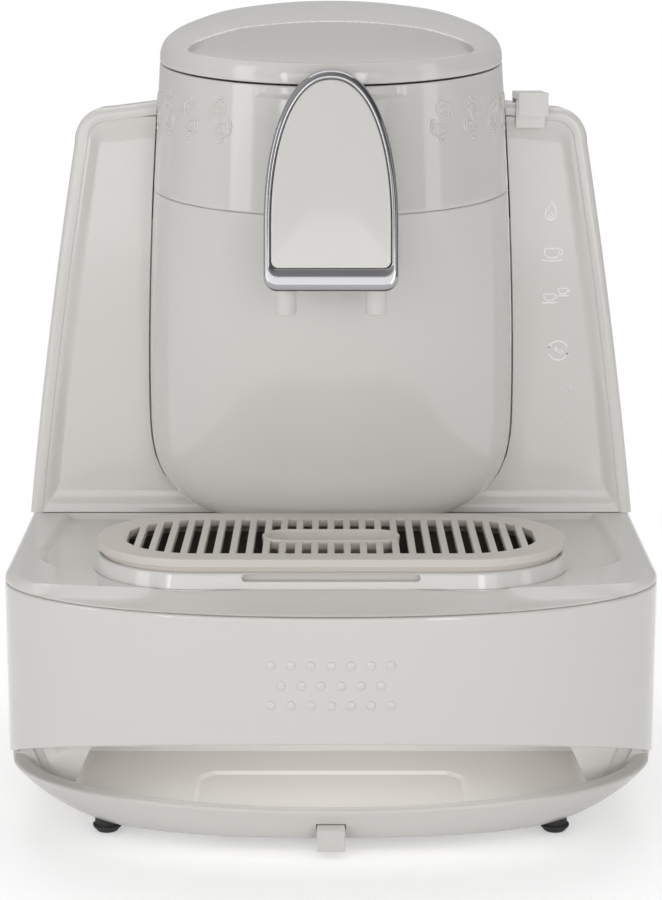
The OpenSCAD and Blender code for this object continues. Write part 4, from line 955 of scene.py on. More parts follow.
def build_grill():
    """Slotted plate with a scooped grip; the middle slots have a floor under them."""
    pitch, width, count, field = 6.35, 3.55, 26, TRAY_R - 10.3
    field_half = count * pitch / 2 - field
    grip_half, grip_r = 17.3, 10.1

    def reach(x, half, r):
        return math.sqrt(max(r * r - max(abs(x) - half, 0) ** 2, 0))

    loops = []
    for k in range(count):
        middle = (k - (count - 1) / 2) * pitch
        xs = [middle - width / 2 + width * i / 6 for i in range(7)]
        back = [(x, reach(x, field_half, field) - 0.35) for x in xs]
        if max(abs(x) for x in xs) < grip_half + grip_r + 0.6:
            half = back[::-1] + [(x, reach(x, grip_half, grip_r + 1.1)) for x in xs]
            loops += [half, [(x, -y) for x, y in half]]
        else:
            loops.append(back[::-1] + [(x, -y) for x, y in back])
    outer = stadium(TRAY_HALF, TRAY_R, 96)
    hollow = stadium(grip_half, grip_r - 1.6, 32)
    obj = plate("grill_plate", outer, [*loops, hollow], 3.4, 0.45,
                lambda p: (p[0], p[1] + TRAY_Y, p[2] + TRAY_TOP - 1.7))
    # (radius, height from the plate's top) of the step that sits in the tray, and of the grip
    step = [(TRAY_R - 5, -3.2), (TRAY_R - 5, -6.6), (TRAY_R - 2.3, -6.6), (TRAY_R - 2.1, -6.4),
            (TRAY_R - 2.1, -3.2)]
    bowl = [(0, -6.4), (7, -6.3), (9, -5.4), (9.9, -3.6), (grip_r + 0.1, -1.2),
            (grip_r + 0.1, -0.1), (grip_r - 0.1, 0.28), (grip_r - 0.6, 0.42),
            (grip_r - 1.1, 0.25), (grip_r - 1.5, -0.5), (grip_r - 2.0, -2.2),
            (grip_r - 3.4, -3.9), (grip_r - 6.4, -4.8), (0, -5)]
    step, bowl = ([(r, TRAY_TOP + z) for r, z in part] for part in (step, bowl))
    floor = []
    for s in (-1, 1):
        xs = np.linspace(-4 * pitch - 0.4, 4 * pitch + 0.4, 33)
        ring = [(x, TRAY_Y + s * (reach(x, grip_half, grip_r) - 0.6)) for x in xs] \
            + [(x, TRAY_Y + s * (reach(x, field_half, field) + 0.5)) for x in xs[::-1]]
        floor.append(rings_mesh([[(x, y, z) for x, y in ring]
                                 for z in (TRAY_TOP - 6.4, TRAY_TOP - 5.2)]))
    merge(obj, make_object("grill_under", *joined(
        stadium_lathe(step, TRAY_HALF, loop=True), stadium_lathe(bowl, grip_half, 32), *floor),
        sharp=40))
    even_normals(obj)
    finish_piece(obj, "grill", ["drip_grill"], look=grill_plastic)


# ---------------------------------------------------------------- tower

COLUMN_ROUND_Z = DECK_Z + 55   # the column narrows to its foot under this height
COLUMN_TIP = DECK_Z - 2
COLUMN_R = 79
COLUMN_FOOT = 3.5              # squareness of the foot's curve
COLUMN_REACH = 42              # how far the foot's front stands before the shield
COLUMN_SLOPE = 0.364           # how fast the front comes forward from there
COLUMN_STEPS = 112
PIPE_Z = 227                   # where the outlet pipe comes through the column's front


def column_a(z):
    """Half width of the column at a height."""
    if z > COLUMN_ROUND_Z:
        t = math.pi / 2 * (MID_Z - z) / (MID_Z - COLUMN_ROUND_Z)
        return HEAD_LOW_R + (COLUMN_R - HEAD_LOW_R) * math.sin(t)
    u = (COLUMN_ROUND_Z - z) / (COLUMN_ROUND_Z - COLUMN_TIP)
    return COLUMN_R * (1 - u ** COLUMN_FOOT) ** (1 / COLUMN_FOOT)


def column_b(z):
    """Depth of the column's front at a height."""
    h, full = z - DECK_Z, MID_Z - DECK_Z
    bend = (COLUMN_SLOPE * full - HEAD_LOW_R + COLUMN_REACH) / full ** 2
    return COLUMN_REACH + COLUMN_SLOPE * h - bend * h * h


def column_ring(z, inset, drop):
    """Half round of the column, which tilts towards the seam with the head band."""
    lean = math.tan(MID_TILT) * (z - DECK_Z) / (MID_Z - DECK_Z)
    a, b = column_a(z) - inset, column_b(z) - inset
    ring = []
    for k in range(COLUMN_STEPS + 1):
        t = math.pi + math.pi * k / COLUMN_STEPS
        y = b * math.sin(t)
        ring.append((a * math.cos(t), TOWER_Y - GAP + y, z + lean * y - drop))
    return ring


def build_column():
    """Shell of the column, open to the back, with the hole for the outlet pipe."""
    # (share of the height, inset, drop) from the foot up the outside and down the inside
    section = [(0.0006, 0.6, 0), (0.0012, 0.15, 0)]
    section += [((k / 44) ** 2, 0, 0) for k in range(2, 44)]
    section += [(1, 0, 0.7), (1, 0.1, 0.35), (1, 0.35, 0.1), (1, 0.7, 0), (1, WALL, 0)]
    section += [(k / 12, WALL, 0) for k in range(11, 0, -1)] + [(0.002, WALL, 0)]
    rows = [column_ring(lerp(DECK_Z + GAP, MID_Z - 0.1, share), inset, drop)
            for share, inset, drop in section]
    obj = make_object("column", *rings_mesh(list(zip(*rows))), sharp=40)
    cut(obj, rod((0, TOWER_Y - 120, PIPE_Z), (0, TOWER_Y - 40, PIPE_Z), 4), sharp=40)
    even_normals(obj)
    finish_piece(obj, "machine", ["column_shell"])


def seam_z(y, base, tilt):
    """Height of a tilted seam at a depth; base is its height over the column's axis."""
    return base + (y - TOWER_Y) * math.tan(tilt)


def spiral(cx, cz, r0, r1, start, turns, steps=26):
    """Points of a spiral that winds in from r0 to r1."""
    points = []
    for k in range(steps + 1):
        r, a = lerp(r0, r1, k / steps), start + math.tau * turns * k / steps
        points.append((cx + r * math.cos(a), cz + r * math.sin(a)))
    return points


def scroll_strokes(flip):
    """Traditional S-scroll with two leaves, as strokes of (along, up) in millimetres."""
    upper = spiral(1.0, 4.1, 3.3, 0.7, math.pi * 0.95, -1.25)
    lower = spiral(-1.0, -4.1, 3.3, 0.7, -math.pi * 0.05, -1.25)
    stem = [(lerp(-2.2, 2.2, t), lerp(4, -4, t) + 0.5 * math.sin(math.tau * t))
            for t in (k / 10 for k in range(11))]
    leaf = [(3.4 + bulge * math.sin(math.pi * t), lerp(v0, v1, t))
            for bulge, v0, v1, first in ((0.9, -0.2, 6.2, 0), (-0.5, 6.2, -0.2, 1))
            for t in (k / 12 for k in range(first, 13))]
    other = [(-u, -v) for u, v in leaf]
    bud = spiral(0, 8.4, 0.9, 0.9, 0, 1.0, 14)
    strokes = [upper, lower, stem, leaf, other, bud, [(-u, -v) for u, v in bud]]
    return [[((-u if flip else u) * 1.3, v) for u, v in stroke] for stroke in strokes]


def tube(path, r, flat, outward):
    """Bead along a path; flat under 1 lowers it towards the surface it lies on."""
    path = [Vector(p) for p in path]
    rings = []
    for i, p in enumerate(path):
        along = (path[min(i + 1, len(path) - 1)] - path[max(i - 1, 0)]).normalized()
        side = along.cross(outward(p)).normalized()
        up = side.cross(along)
        taper = 1.0 if 0 < i < len(path) - 1 else 0.6
        rings.append([tuple(p + taper * (u * side + flat * v * up)) for u, v in circle(r, 8)])
    return rings_mesh(rings)


HINGE_Y = HEAD_TOP_R + 7       # the hinge's axis, in the lid's own frame
HINGE_H = 3.5
HINGE_R = 4.5


def hinge_plate(name, x0, x1, first, last, foot, bore):
    """Rounded plate of the lid's hinge from x0 to x1: an arc in degrees, its foot, and a bore."""
    side = [(HINGE_Y + HINGE_R * math.cos(t), HINGE_H + HINGE_R * math.sin(t))
            for t in (math.radians(a) for a in range(first, last, 10))] + foot
    obj = make_object(name, *rings_mesh(
        [[tilted((x, y, z)) for y, z in side] for x in (x0, x1)]))
    soften(obj, 0.5, 3)
    cut(obj, rod(tilted((-25, HINGE_Y, HINGE_H)), tilted((25, HINGE_Y, HINGE_H)), bore))
    return obj


def band_column(angle):
    """Section of the head band at an angle from the front: down the outside, up the inside."""
    sx, sy = math.sin(angle), -math.cos(angle)

    def at(z, inset):
        r = head_r(z) - inset
        return (r * sx, TOWER_Y + r * sy, z)

    top, low = LID_Z, MID_Z
    for _ in range(6):
        top = seam_z(TOWER_Y + head_r(top) * sy, LID_Z, LID_TILT) - 0.12
        low = seam_z(TOWER_Y + head_r(low) * sy, MID_Z, MID_TILT) + 0.12
    recess = 1.3 * smooth((29.5 - abs(head_r(top) * sx)) / 2) if sy < 0 else 0
    path = []
    for drop in (0, 0.08, 0.2, 0.45, 0.8, 1.3, 2, 3, 3.7, 4.3, 4.9, 5.6, 7, 10):
        edge = 0.55 * (1 - math.sqrt(1 - (1 - min(drop / 0.8, 1)) ** 2))
        path.append(at(top - drop, edge + recess * (1 - smooth((drop - 3.9) / 1.2))))
    path += [at(lerp(top - 10, low, k / 20), 0) for k in range(1, 20)]
    path += [at(low + d, e) for d, e in ((0.8, 0), (0.45, 0.06), (0.2, 0.2), (0, 0.5))]
    return path + [at(low, 2.8), at((low + top) / 2, 2.8), at(top, 2.8)]


def band_relief():
    """Beads of the scroll frieze on both sides of the head."""
    def outward(p):
        return Vector((p.x, p.y - TOWER_Y, 0)).normalized()

    beads = []
    for degrees in range(37, 150, 14):
        middle = LID_Z - 23.5 + 4.5 * (1 - math.cos(math.radians(degrees)))
        for s in (-1, 1):
            for stroke in scroll_strokes(s < 0):
                path = []
                for u, v in stroke:
                    z = middle + v * 0.95
                    r = head_r(z) + 0.02
                    a = math.radians(s * degrees) + u / r
                    path.append((r * math.sin(a), TOWER_Y - r * math.cos(a), z))
                beads.append(tube(path, 0.6, 0.8, outward))
    return joined(*beads)


def build_band():
    """Head band with rounded seams, a finger recess under the lid and a relief of scrolls."""
    band = rings_mesh(list(zip(*[band_column(math.tau * k / 360) for k in range(360)])), loop=True)
    ledge = [(HEAD_TOP_R - 1.5, -9), (HEAD_TOP_R - 1.5, -6.5), (HEAD_TOP_R - 6, -6.5),
             (HEAD_TOP_R - 6, -9)]
    ledge = rings_mesh([[tilted((x, y, z)) for x, y in circle(r, 128)] for r, z in ledge],
                       loop=True)
    obj = make_object("head_band_shell", *joined(band, ledge), sharp=42)
    foot = [(HEAD_TOP_R - 3, -3), (HEAD_TOP_R - 3, -16)]
    merge(obj, *[hinge_plate("ear", x - 2, x + 2, -20, 201, foot, 2) for x in (-15, 15)])
    merge(obj, make_object("relief", *band_relief(), sharp=60))
    finish_piece(obj, "machine", ["head_band"])


# ---------------------------------------------------------------- lid

DOME_SCALE = 23 / 23.4
# (radius, height before scaling) of the lid's dome from its edge to the top
DOME = [(72.8, 0), (72.5, 4.6), (70.8, 8.6), (67.8, 11.4), (62.8, 14.2), (52, 18.2),
        (42, 20.2), (31, 21.8), (16, 23), (0, 23.4)]


def smooth_path(points, steps):
    """Smooth curve through chosen points."""
    out = []
    for i in range(len(points) - 1):
        a, b = points[max(i - 1, 0)], points[i]
        c, d = points[i + 1], points[min(i + 2, len(points) - 1)]
        for s in range(steps):
            t = s / steps
            out.append(tuple(0.5 * (2 * q + (r - p) * t + (2 * p - 5 * q + 4 * r - w) * t * t
                                    + (3 * q - p - 3 * r + w) * t ** 3)
                             for p, q, r, w in zip(a, b, c, d)))
    out.append(tuple(points[-1]))
    return out


SCOOP_BACK = -35.6             # the scoop's straight back edge, in the lid's own frame
SCOOP_R = 70.9                 # its front edge lies on this radius
SCOOP_LOW = 8.5                # and at this height
SCOOP_SOFT = 0.12              # how softly the scoop's edge meets the dome


def dome_z(reach):
    """Height of the dome at a distance from the lid's axis."""
    for (r0, z0), (r1, z1) in zip(DOME[1:], DOME[2:]):
        if reach >= r1:
            return lerp(z1, z0, min((reach - r1) / (r0 - r1), 1)) * DOME_SCALE
    return DOME[-1][1] * DOME_SCALE


def scoop_floor(x, y):
    """Height of the finger scoop, or None where it leaves the dome whole."""
    if y > SCOOP_BACK or abs(x) > SCOOP_R - 0.5:
        return None
    near = -math.sqrt(SCOOP_R ** 2 - x * x)
    if near > SCOOP_BACK - 0.5:
        return None
    t = min(max((y - near) / (SCOOP_BACK - near), 0), 1)
    back = dome_z(math.hypot(x, SCOOP_BACK))
    return lerp(SCOOP_LOW, back, t ** 1.2)


def build_lid():
    """Domed lid with the finger scoop across its front, and the hinge knuckle."""
    def ring(r):
        turns = [math.tau * k / 640 for k in range(640)]
        return [(max(r, 0.01) * math.sin(t), -max(r, 0.01) * math.cos(t)) for t in turns]

    def sunk(x, y, h):
        floor = scoop_floor(x, y)
        if floor is None:
            return h
        return min(h, floor) - SCOOP_SOFT * math.log(
            1 + math.exp(-min(abs(h - floor) / SCOOP_SOFT, 30)))

    outside = [(HEAD_TOP_R - 0.75, 0.38), (HEAD_TOP_R - 0.3, 0.5), (HEAD_TOP_R - 0.06, 0.85)]
    outside += [(r, max(z * DOME_SCALE, 1.2)) for r, z in smooth_path(DOME, 16) if z > 1.0]
    inside = [(0, 17), (30, 15.8), (50, 10.6), (64, 6.5), (69.6, 3), (69.6, 0.38)]
    rows = [[tilted((x, y, sunk(x, y, h))) for x, y in ring(r)] for r, h in outside]
    rows += [[tilted((x, y, h)) for x, y in ring(r)] for r, h in inside]
    obj = make_object("lid_dome", *rings_mesh(rows, loop=True), sharp=50)
    foot = [(HEAD_TOP_R - 3.6, HINGE_H + 2.6), (HEAD_TOP_R - 3.6, 0.9)]
    merge(obj, hinge_plate("knuckle", -12.6, 12.6, -140, 101, foot, 2.05))
    finish_piece(obj, "lid", ["lid_shell"])
    # the scoop's faces take the darker copy of the shell plastic: painted shade
    obj.data.materials.append(scoop_plastic())
    origin = Vector(tilted((0, 0, 0)))
    up = Vector(tilted((0, 0, 1))) - origin
    back = Vector(tilted((0, 1, 0))) - origin
    for face in obj.data.polygons:
        spot = face.center / MM - origin
        y, z = spot.dot(back), spot.dot(up)
        floor = scoop_floor(spot.x, y)
        if floor is not None and abs(z - floor) < 0.25 \
                and dome_z(math.hypot(spot.x, y)) - floor > 0.08:
            face.material_index = 1


# ---------------------------------------------------------------- nose

NOSE_W = 52.2
NOSE_LOW = LID_Z - 86
NOSE_H = 84
NOSE_ARCH = 60                 # how much of that height the arch takes
NOSE_FRONT = TOWER_Y - 112.5
NOSE_LEAN = math.tan(math.radians(11))
NOSE_SEAT = 77.1               # radius on which its back rests


def arch(inset, top, low, r):
    """Outline of the nose: a pointed-round arch over a base with rounded corners."""
    a, z0 = NOSE_W / 2 - inset, NOSE_LOW + NOSE_H - NOSE_ARCH
    points = []
    for k in range(73):
        s, c = superellipse(math.pi * (k / 72 - 0.5), 2.2)
        points.append((a * s, z0 + (NOSE_ARCH - top) * abs(c)))
    for start, cx in ((0, a - r), (-90, -a + r)):
        for k in range(13):
            t = math.radians(start - 90 * k / 12)
            points.append((cx + r * math.cos(t), NOSE_LOW + low + r + r * math.sin(t)))
    return points


def nose_face(z, depth):
    """Depth of a point that lies so far behind the nose's leaning front."""
    return NOSE_FRONT + depth + (z - NOSE_LOW) * NOSE_LEAN


def build_nose():
    """Plated surround of the nose and the plain cover inside it."""
    def seat(x):
        return TOWER_Y - math.sqrt(NOSE_SEAT ** 2 - x * x)

    outer, inner = arch(0, 0, 0, 5.4), arch(2.6, 3.3, 8.6, 3)
    rows = [[(x, seat(x), z) for x, z in outer]]
    # (share of the way from the outer to the inner outline, depth) over the bead
    section = [(0, 9), (0, 2.4), (0.03, 1.5), (0.12, 0.75), (0.27, 0.3), (0.45, 0.08),
               (0.62, 0), (0.8, 0.05), (0.92, 0.2), (0.985, 0.5), (1, 0.9), (1, 3.4)]
    for f, depth in section:
        rows.append([(lerp(x0, x1, f), nose_face(lerp(z0, z1, f), depth), lerp(z0, z1, f))
                     for (x0, z0), (x1, z1) in zip(outer, inner)])
    rows.append([(x * 0.98, seat(x) - 0.2, z) for x, z in inner])
    obj = make_object("nose_surround", *rings_mesh(rows, loop=True), sharp=60)
    even_normals(obj)
    finish_piece(obj, "machine", ["nose_frame"], "chrome")
    edge = arch(2.85, 3.55, 8.85, 2.9)
    middle = NOSE_LOW + 44
    rows = []
    # (share of the way out from the middle, depth) of the slightly domed cover
    for f, depth in ((1, 2.8), (1, 1.0), (0.994, 0.62), (0.98, 0.44), (0.95, 0.36), (0.8, 0.2),
                     (0.55, 0.06), (0.3, 0.0), (0.1, -0.02)):
        rows.append([(x * f, nose_face(middle + (z - middle) * f, depth),
                      middle + (z - middle) * f) for x, z in edge])
    cover = make_object("nose_insert", *rings_mesh(rows), sharp=60)
    even_normals(cover)
    finish_piece(cover, "machine", ["nose_cover"])


SPOUT_X = 17.6                 # of each spout from the middle
SPOUT_DROP = 10.6              # how far they hang under the nose


def build_spouts():
    """Two short outlet tubes under the nose, open at the foot."""
    low = NOSE_LOW - SPOUT_DROP
    profile = [(2.6, low + 13), (2.6, low + 0.7), (2.9, low + 0.2), (3.4, low), (3.85, low + 0.15),
               (4.1, low + 0.6), (4.1, low + 13)]
    obj = make_object("coffee_spouts", *joined(*[
        rings_mesh([[(middle + x, TRAY_Y + y, z) for x, y in circle(r, 64)] for r, z in profile],
                   loop=True) for middle in (-SPOUT_X, SPOUT_X)]))
    finish_piece(obj, "machine", ["spouts"])


# ---------------------------------------------------------------- shield

def shield_half(side, top, low, arc=15):
    """Right outline of the shield from the foot to the head: side and top insets, foot height."""
    z1 = WING_SHOULDER - arc
    points = [(wing_x(lerp(low, z1, k / 40)) - side, lerp(low, z1, k / 40)) for k in range(41)]
    x1 = wing_x(z1) - side
    bend = arc - top
    for k in range(1, 13):
        t = math.pi / 2 * k / 13
        points.append((x1 - (arc - side) * (1 - math.cos(t)) * 0.9, z1 + bend * math.sin(t)))
    x2 = x1 - (arc - side) * 0.95
    for k in range(1, 21):
        x = lerp(x2, HEAD_LOW_R - 1, k / 20)
        points.append((x, lerp(WING_SHOULDER, WING_TOP, k / 20) - top))
    return points


def shield_loop(inset):
    """Closed outline of the shield, set in by an even distance at the sides and the top."""
    return mirrored(shield_half(inset, inset, DECK_Z))


RIM_WIDTH = 5.6                # of the shield's raised rim
RIM_ROLL = 3.2                 # depth of its rounded outer edge


def build_shield():
    """Broad shield with a raised rolled rim, cut out for the head, and its two panels."""
    # (inset, depth) from the back edge round the rim to the face inside it
    section = [(WALL, WING_BACK), (0.4, WING_BACK), (0, WING_BACK - 0.4), (0, RIM_Y + 8),
               (0, RIM_Y + RIM_ROLL)]
    section += [(3 * (1 - math.cos(t)), RIM_Y + RIM_ROLL - RIM_ROLL * math.sin(t))
                for t in (math.pi / 2 * k / 10 for k in range(1, 10))]
    section += [(3, RIM_Y), (4.2, RIM_Y + 0.04), (5.1, RIM_Y + 0.16), (RIM_WIDTH, RIM_Y + 0.3),
                (RIM_WIDTH, TOWER_Y), (RIM_WIDTH, TOWER_Y + 0.02)]
    front = [[(x, y, z) for x, z in shield_loop(inset)] for inset, y in section]
    back = [[(x, y, z) for x, z in shield_loop(WALL)] for y in (WING_BACK, TOWER_Y + WALL)]
    face = tuple(range(len(front[0])))
    obj = make_object("shield", *joined(
        rings_mesh(front, caps=False), rings_mesh(back, caps=False),
        (front[-1], [face]), (back[-1], [face])), sharp=50)
    head = [[(x, TOWER_Y + y, z) for x, y in circle(head_r(z) + 0.45, 128)]
            for z in (MID_Z - 14, LID_Z + 20)]
    cut(obj, rings_mesh(head), block(-40, 40, TOWER_Y - 8, WING_BACK + 1, DECK_Z + 14, 400),
        sharp=50)
    even_normals(obj)
    finish_piece(obj, "machine", ["wing_shell"])
    for side, node in ((-1, "left_fascia"), (1, "right_fascia")):
        build_fascia(side, node)


FASCIA_Y = TOWER_Y - 1.4       # flat face of the two panels


def build_fascia(side, node):
    """Dished panel of one side: a slope inside the rim, then flat."""
    def ring(i_side, i_top, low, y):
        half = [p for p in shield_half(i_side, i_top, low) if p[0] > COLUMN_R + 2]
        top = half[-1][1] + 0.2
        half.append((head_r(top) + 0.5, top))
        for k in range(1, 21):
            z = lerp(top, low, k / 20)
            half.append(((column_a(z) if z < MID_Z else head_r(z)) + 0.5, z))
        return [(side * x, y, z) for x, z in half]

    # (side inset, top inset, foot height, depth) from behind the rim to the flat face
    section = [(5.62, 5.62, DECK_Z + 0.1, TOWER_Y - 0.05), (5.62, 5.62, DECK_Z + 0.1, RIM_Y + 0.5),
               (5.7, 5.7, DECK_Z + 0.2, RIM_Y + 0.4), (6.3, 6.3, DECK_Z + 0.8, RIM_Y + 0.5)]
    for k in range(1, 10):
        t = k / 9
        ease = smooth(t) * 0.6 + t * 0.4
        section.append((lerp(6.3, 11.6, t), lerp(6.3, 14.8, t), lerp(DECK_Z + 0.8, 119.6, t),
                        lerp(RIM_Y + 0.5, FASCIA_Y, ease)))
    section.append((11.9, 15.1, 119.9, FASCIA_Y))
    obj = make_object(node + "_panel", *rings_mesh([ring(*s) for s in section]), sharp=50)
    even_normals(obj)
    finish_piece(obj, "machine", [node])


def icon_x(z):
    """Middle of the column of symbols, which follows the shield's side."""
    return HALF_WIDTH - 33 - 0.072 * (z - DECK_Z - 34)


def ribbon(path, width, y_front, y_back):
    """Flat line of ink along a path of (x, z)."""
    rings = []
    for i, (x, z) in enumerate(path):
        a, b = path[max(i - 1, 0)], path[min(i + 1, len(path) - 1)]
        dx, dz = b[0] - a[0], b[1] - a[1]
        size = math.hypot(dx, dz) or 1
        ox, oz = -dz / size * width / 2, dx / size * width / 2
        rings.append([(x + ox, y_front, z + oz), (x - ox, y_front, z - oz),
                      (x - ox, y_back, z - oz), (x + ox, y_back, z + oz)])
    return rings_mesh(rings)


def moved(points, x, z, scale=1.0):
    """Stroke drawn round the origin, scaled and put in its place."""
    return [(x + u * scale, z + v * scale) for u, v in points]


def arc_path(r, a0, a1, steps=20):
    """Arc round the origin between two angles in degrees."""
    turns = [math.radians(lerp(a0, a1, k / steps)) for k in range(steps + 1)]
    return [(r * math.cos(t), r * math.sin(t)) for t in turns]


FLAME = ([(0.2, 4.4), (1.7, 1.7), (2.5, -0.7), (2.1, -2.9), (0.6, -4.1), (-0.9, -4.0),
          (-2.2, -2.6), (-2.3, -0.9), (-1.4, 0.8), (-0.5, 2.2), (0.2, 4.4)],
         [(0.1, -0.6), (0.9, -2.0), (0.3, -3.2), (-0.6, -3.1), (-0.9, -2.0), (-0.2, -1.2),
          (0.1, -0.6)])
CUP = (mirrored([(3.3, 2.2), (3.0, -0.4), (1.9, -1.7)])[::-1] + [(-3.3, 2.2)],
       moved(arc_path(1.2, 100, -80, 12), 3.4, 0.6),
       [(-4.4, -2.7), (-3.4, -3.1), (3.4, -3.1), (4.4, -2.7)])
DROP = [(0, 1.3), (0.7, -0.1), (0, -0.8), (-0.7, -0.1), (0, 1.3)]


def wash_strokes():
    """Two arrows that chase each other round two drops."""
    strokes = [arc_path(4.2, 20, 165), arc_path(4.2, 200, 345)]
    for end in (165, 345):
        tip = arc_path(4.2, end, end, 1)[0]
        for swing in (-35, 35):
            d = math.radians(end + 270 + swing)
            strokes.append([tip, (tip[0] + 1.5 * math.cos(d), tip[1] + 1.5 * math.sin(d))])
    return strokes + [moved(DROP, -1.0, 0.5), moved(DROP, 1.1, -0.7)]


def build_icons():
    """Printed touch symbols from the top down, and the four lights under them."""
    flame_z, one_z, two_z, wash_z = (LID_Z - drop for drop in (64, 83, 101, 125))
    strokes = []
    # (symbol, shift across, height, shift up, scale)
    for symbol, dx, z, dz, scale in (
            (FLAME, 0, flame_z, 0, 1), (CUP, -0.5, one_z, 0.4, 1), (CUP, -2.6, two_z, -0.8, 0.72),
            (CUP, 3.2, two_z, 1.9, 0.6), (wash_strokes(), 0, wash_z, 0, 1)):
        strokes += [moved(line, icon_x(z) + dx, z + dz, scale) for line in symbol]
    obj = make_object("touch_symbols", *joined(
        *[ribbon(s, 0.6, FASCIA_Y - 0.1, FASCIA_Y + 0.05) for s in strokes]), sharp=20)
    finish_piece(obj, "machine", ["touch_icons"], "ink")
    lights = [(icon_x(z) + dx, z) for dx, z in (
        (0, wash_z - 17), (0, wash_z - 25), (0, wash_z - 33), (4.3, wash_z - 17))]
    dome = [(1.05, 2.5), (1.05, 0.05), (0.95, -0.06), (0.6, -0.13), (0.05, -0.16)]
    obj = make_object("light_dots", *joined(*[
        rings_mesh([[(x + u, FASCIA_Y + d, z + v) for u, v in circle(r, 32)] for r, d in dome])
        for x, z in lights]))
    finish_piece(obj, "machine", ["status_lights"], "light_pipe")


# ---------------------------------------------------------------- back

BACK_TOP = WING_SHOULDER - 6
BACK_CORNER = 26
BACK_ROUND = 4                 # rounding of its top edge
TANK_X = (20, 97.33)           # sides of the water tank
TANK_HEAD_GAP = 5.8            # between the head and the tank


def back_ring(z, inset):
    """Outline of the back housing at a height."""
    half = wing_x(min(z, WING_SHOULDER - 20)) - 8 - inset
    wide = min(half, HALF_WIDTH - 12 - inset)
    r, back = BACK_CORNER - inset, REAR_Y - inset
    right = [(half, lerp(WING_BACK + 0.02, back - r, k / 9)) for k in range(9)]
    right += [(min(half, wide - r + r * math.cos(t)), back - r + r * math.sin(t))
              for t in (math.pi / 2 * k / 16 for k in range(17))]
    right += [(lerp(wide - r, 0, k / 6), back) for k in range(1, 6)]
    left = [(-x, y) for x, y in reversed(right)]
    return [(x, y, z) for x, y in [*right, (0, back), *left]]


def build_rear_cover():
    """Back housing with rounded corners, vents and the opening for the water tank."""
    levels = [DECK_Z + 0.3, DECK_Z + 1]
    levels += [lerp(DECK_Z + 4, BACK_TOP - 6, k / 14) for k in range(15)]
    rings = [back_ring(DECK_Z + 0.05, 0.3)] + [back_ring(z, 0) for z in levels]
    rings += [back_ring(BACK_TOP - BACK_ROUND + BACK_ROUND * math.sin(t),
                        BACK_ROUND * (1 - math.cos(t)))
              for t in (math.pi / 2 * k / 8 for k in range(1, 9))]
    obj = make_object("rear_housing", *rings_mesh(rings), sharp=40)
    # the two front corners of the hollow come forward, so that it opens to the shield
    hollow = [[(x, y if y > WING_BACK + 1 else WING_BACK - 5, z)
               for x, y, z in back_ring(level, WALL)]
              for level in (DECK_Z - 5, DECK_Z + 60, DECK_Z + 120, BACK_TOP - WALL)]
    head = [[(x, TOWER_Y + y, z) for x, y in circle(HEAD_LOW_R + 0.6)] for z in (DECK_Z - 1, 400)]
    opening = [[(x, y, z) for x, y in tank_outline(-1)] for z in (BACK_TOP - 10, BACK_TOP + 20)]
    vents = [block(x - 1.2, x + 1.2, REAR_Y - 10, REAR_Y + 1, DECK_Z + 30, DECK_Z + 60)
             for x in range(-95, -44, 5)]
    screws = [screw_hole(x, z) for x in (-84, 3) for z in (122, 267)]
    cut(obj, rings_mesh(hollow), rings_mesh(head), rings_mesh(opening), *vents, *screws,
        sharp=40)
    even_normals(obj)
    finish_piece(obj, "machine", ["rear_cover"])


def tank_outline(inset):
    """Plan of the tank, set in by a distance: a rectangle with a bite for the head."""
    x0, x1 = TANK_X[0] + inset, TANK_X[1] - inset
    y0, y1 = WING_BACK + 5 + inset, REAR_Y - WALL - 3 - inset
    r = HEAD_LOW_R + TANK_HEAD_GAP + inset
    x_bite = min(math.sqrt(max(r * r - (y0 - TOWER_Y) ** 2, 0)), x1)
    y_bite = TOWER_Y + math.sqrt(max(r * r - x0 * x0, 0))
    start = math.atan2(y0 - TOWER_Y, x_bite)
    end = math.atan2(y_bite - TOWER_Y, x0)
    arc = [(r * math.cos(t), TOWER_Y + r * math.sin(t))
           for t in (lerp(end, start, k / 24) for k in range(25))]
    return arc + [(x1, y0), (x1, y1), (x0, y1)]


# ---------------------------------------------------------------- pieces that keep their CAD shape

KEPT = {
    "base_cover": ("inner_plastic", 0.3), "cover_screws": ("steel", 0.25),
    "drawer_tub": ("inner_plastic", 0.4), "touch_board": ("board", 0.1),
    "head_deck": ("inner_plastic", 0.3), "brew_pot": ("steel", 0.25),
    "pot_gasket": ("silicone", 0), "heater_ring": ("aluminium", 0.4),
    "temperature_probe": ("steel", 0.3), "outlet_block": ("inner_plastic", 0.3),
    "solenoid": ("black_plastic", 0.4), "valve_plunger": ("steel", 0.3),
    "valve_spring": ("steel", 0), "outlet_pipe": ("silicone", 0.2),
    "spout_block": ("inner_plastic", 0.4), "lid_liner": ("inner_plastic", 0.25),
    "lid_gasket": ("silicone", 0.2), "lid_pin": ("steel", 0.3), "rear_screws": ("steel", 0.15),
    "tank_bay": ("inner_plastic", 0.3), "water_tank": ("tank_clear", 0.4),
    "tank_lid": ("shell", 0.5), "tank_lid_pin": ("steel", 0.2),
    "tank_valve": ("inner_plastic", 0.25), "level_float": ("float_orange", 0.5),
    "water_pump": ("black_plastic", 0.6), "pump_mounts": ("rubber", 0.6),
    "suction_hose": ("silicone", 0), "feed_hose": ("silicone", 0),
    "water_nozzle": ("inner_plastic", 0.2), "power_board": ("board", 0.2),
    "switch_bezel": ("black_plastic", 0.3), "power_rocker": ("black_plastic", 0.4),
    "cord_gland": ("rubber", 0.4),
}


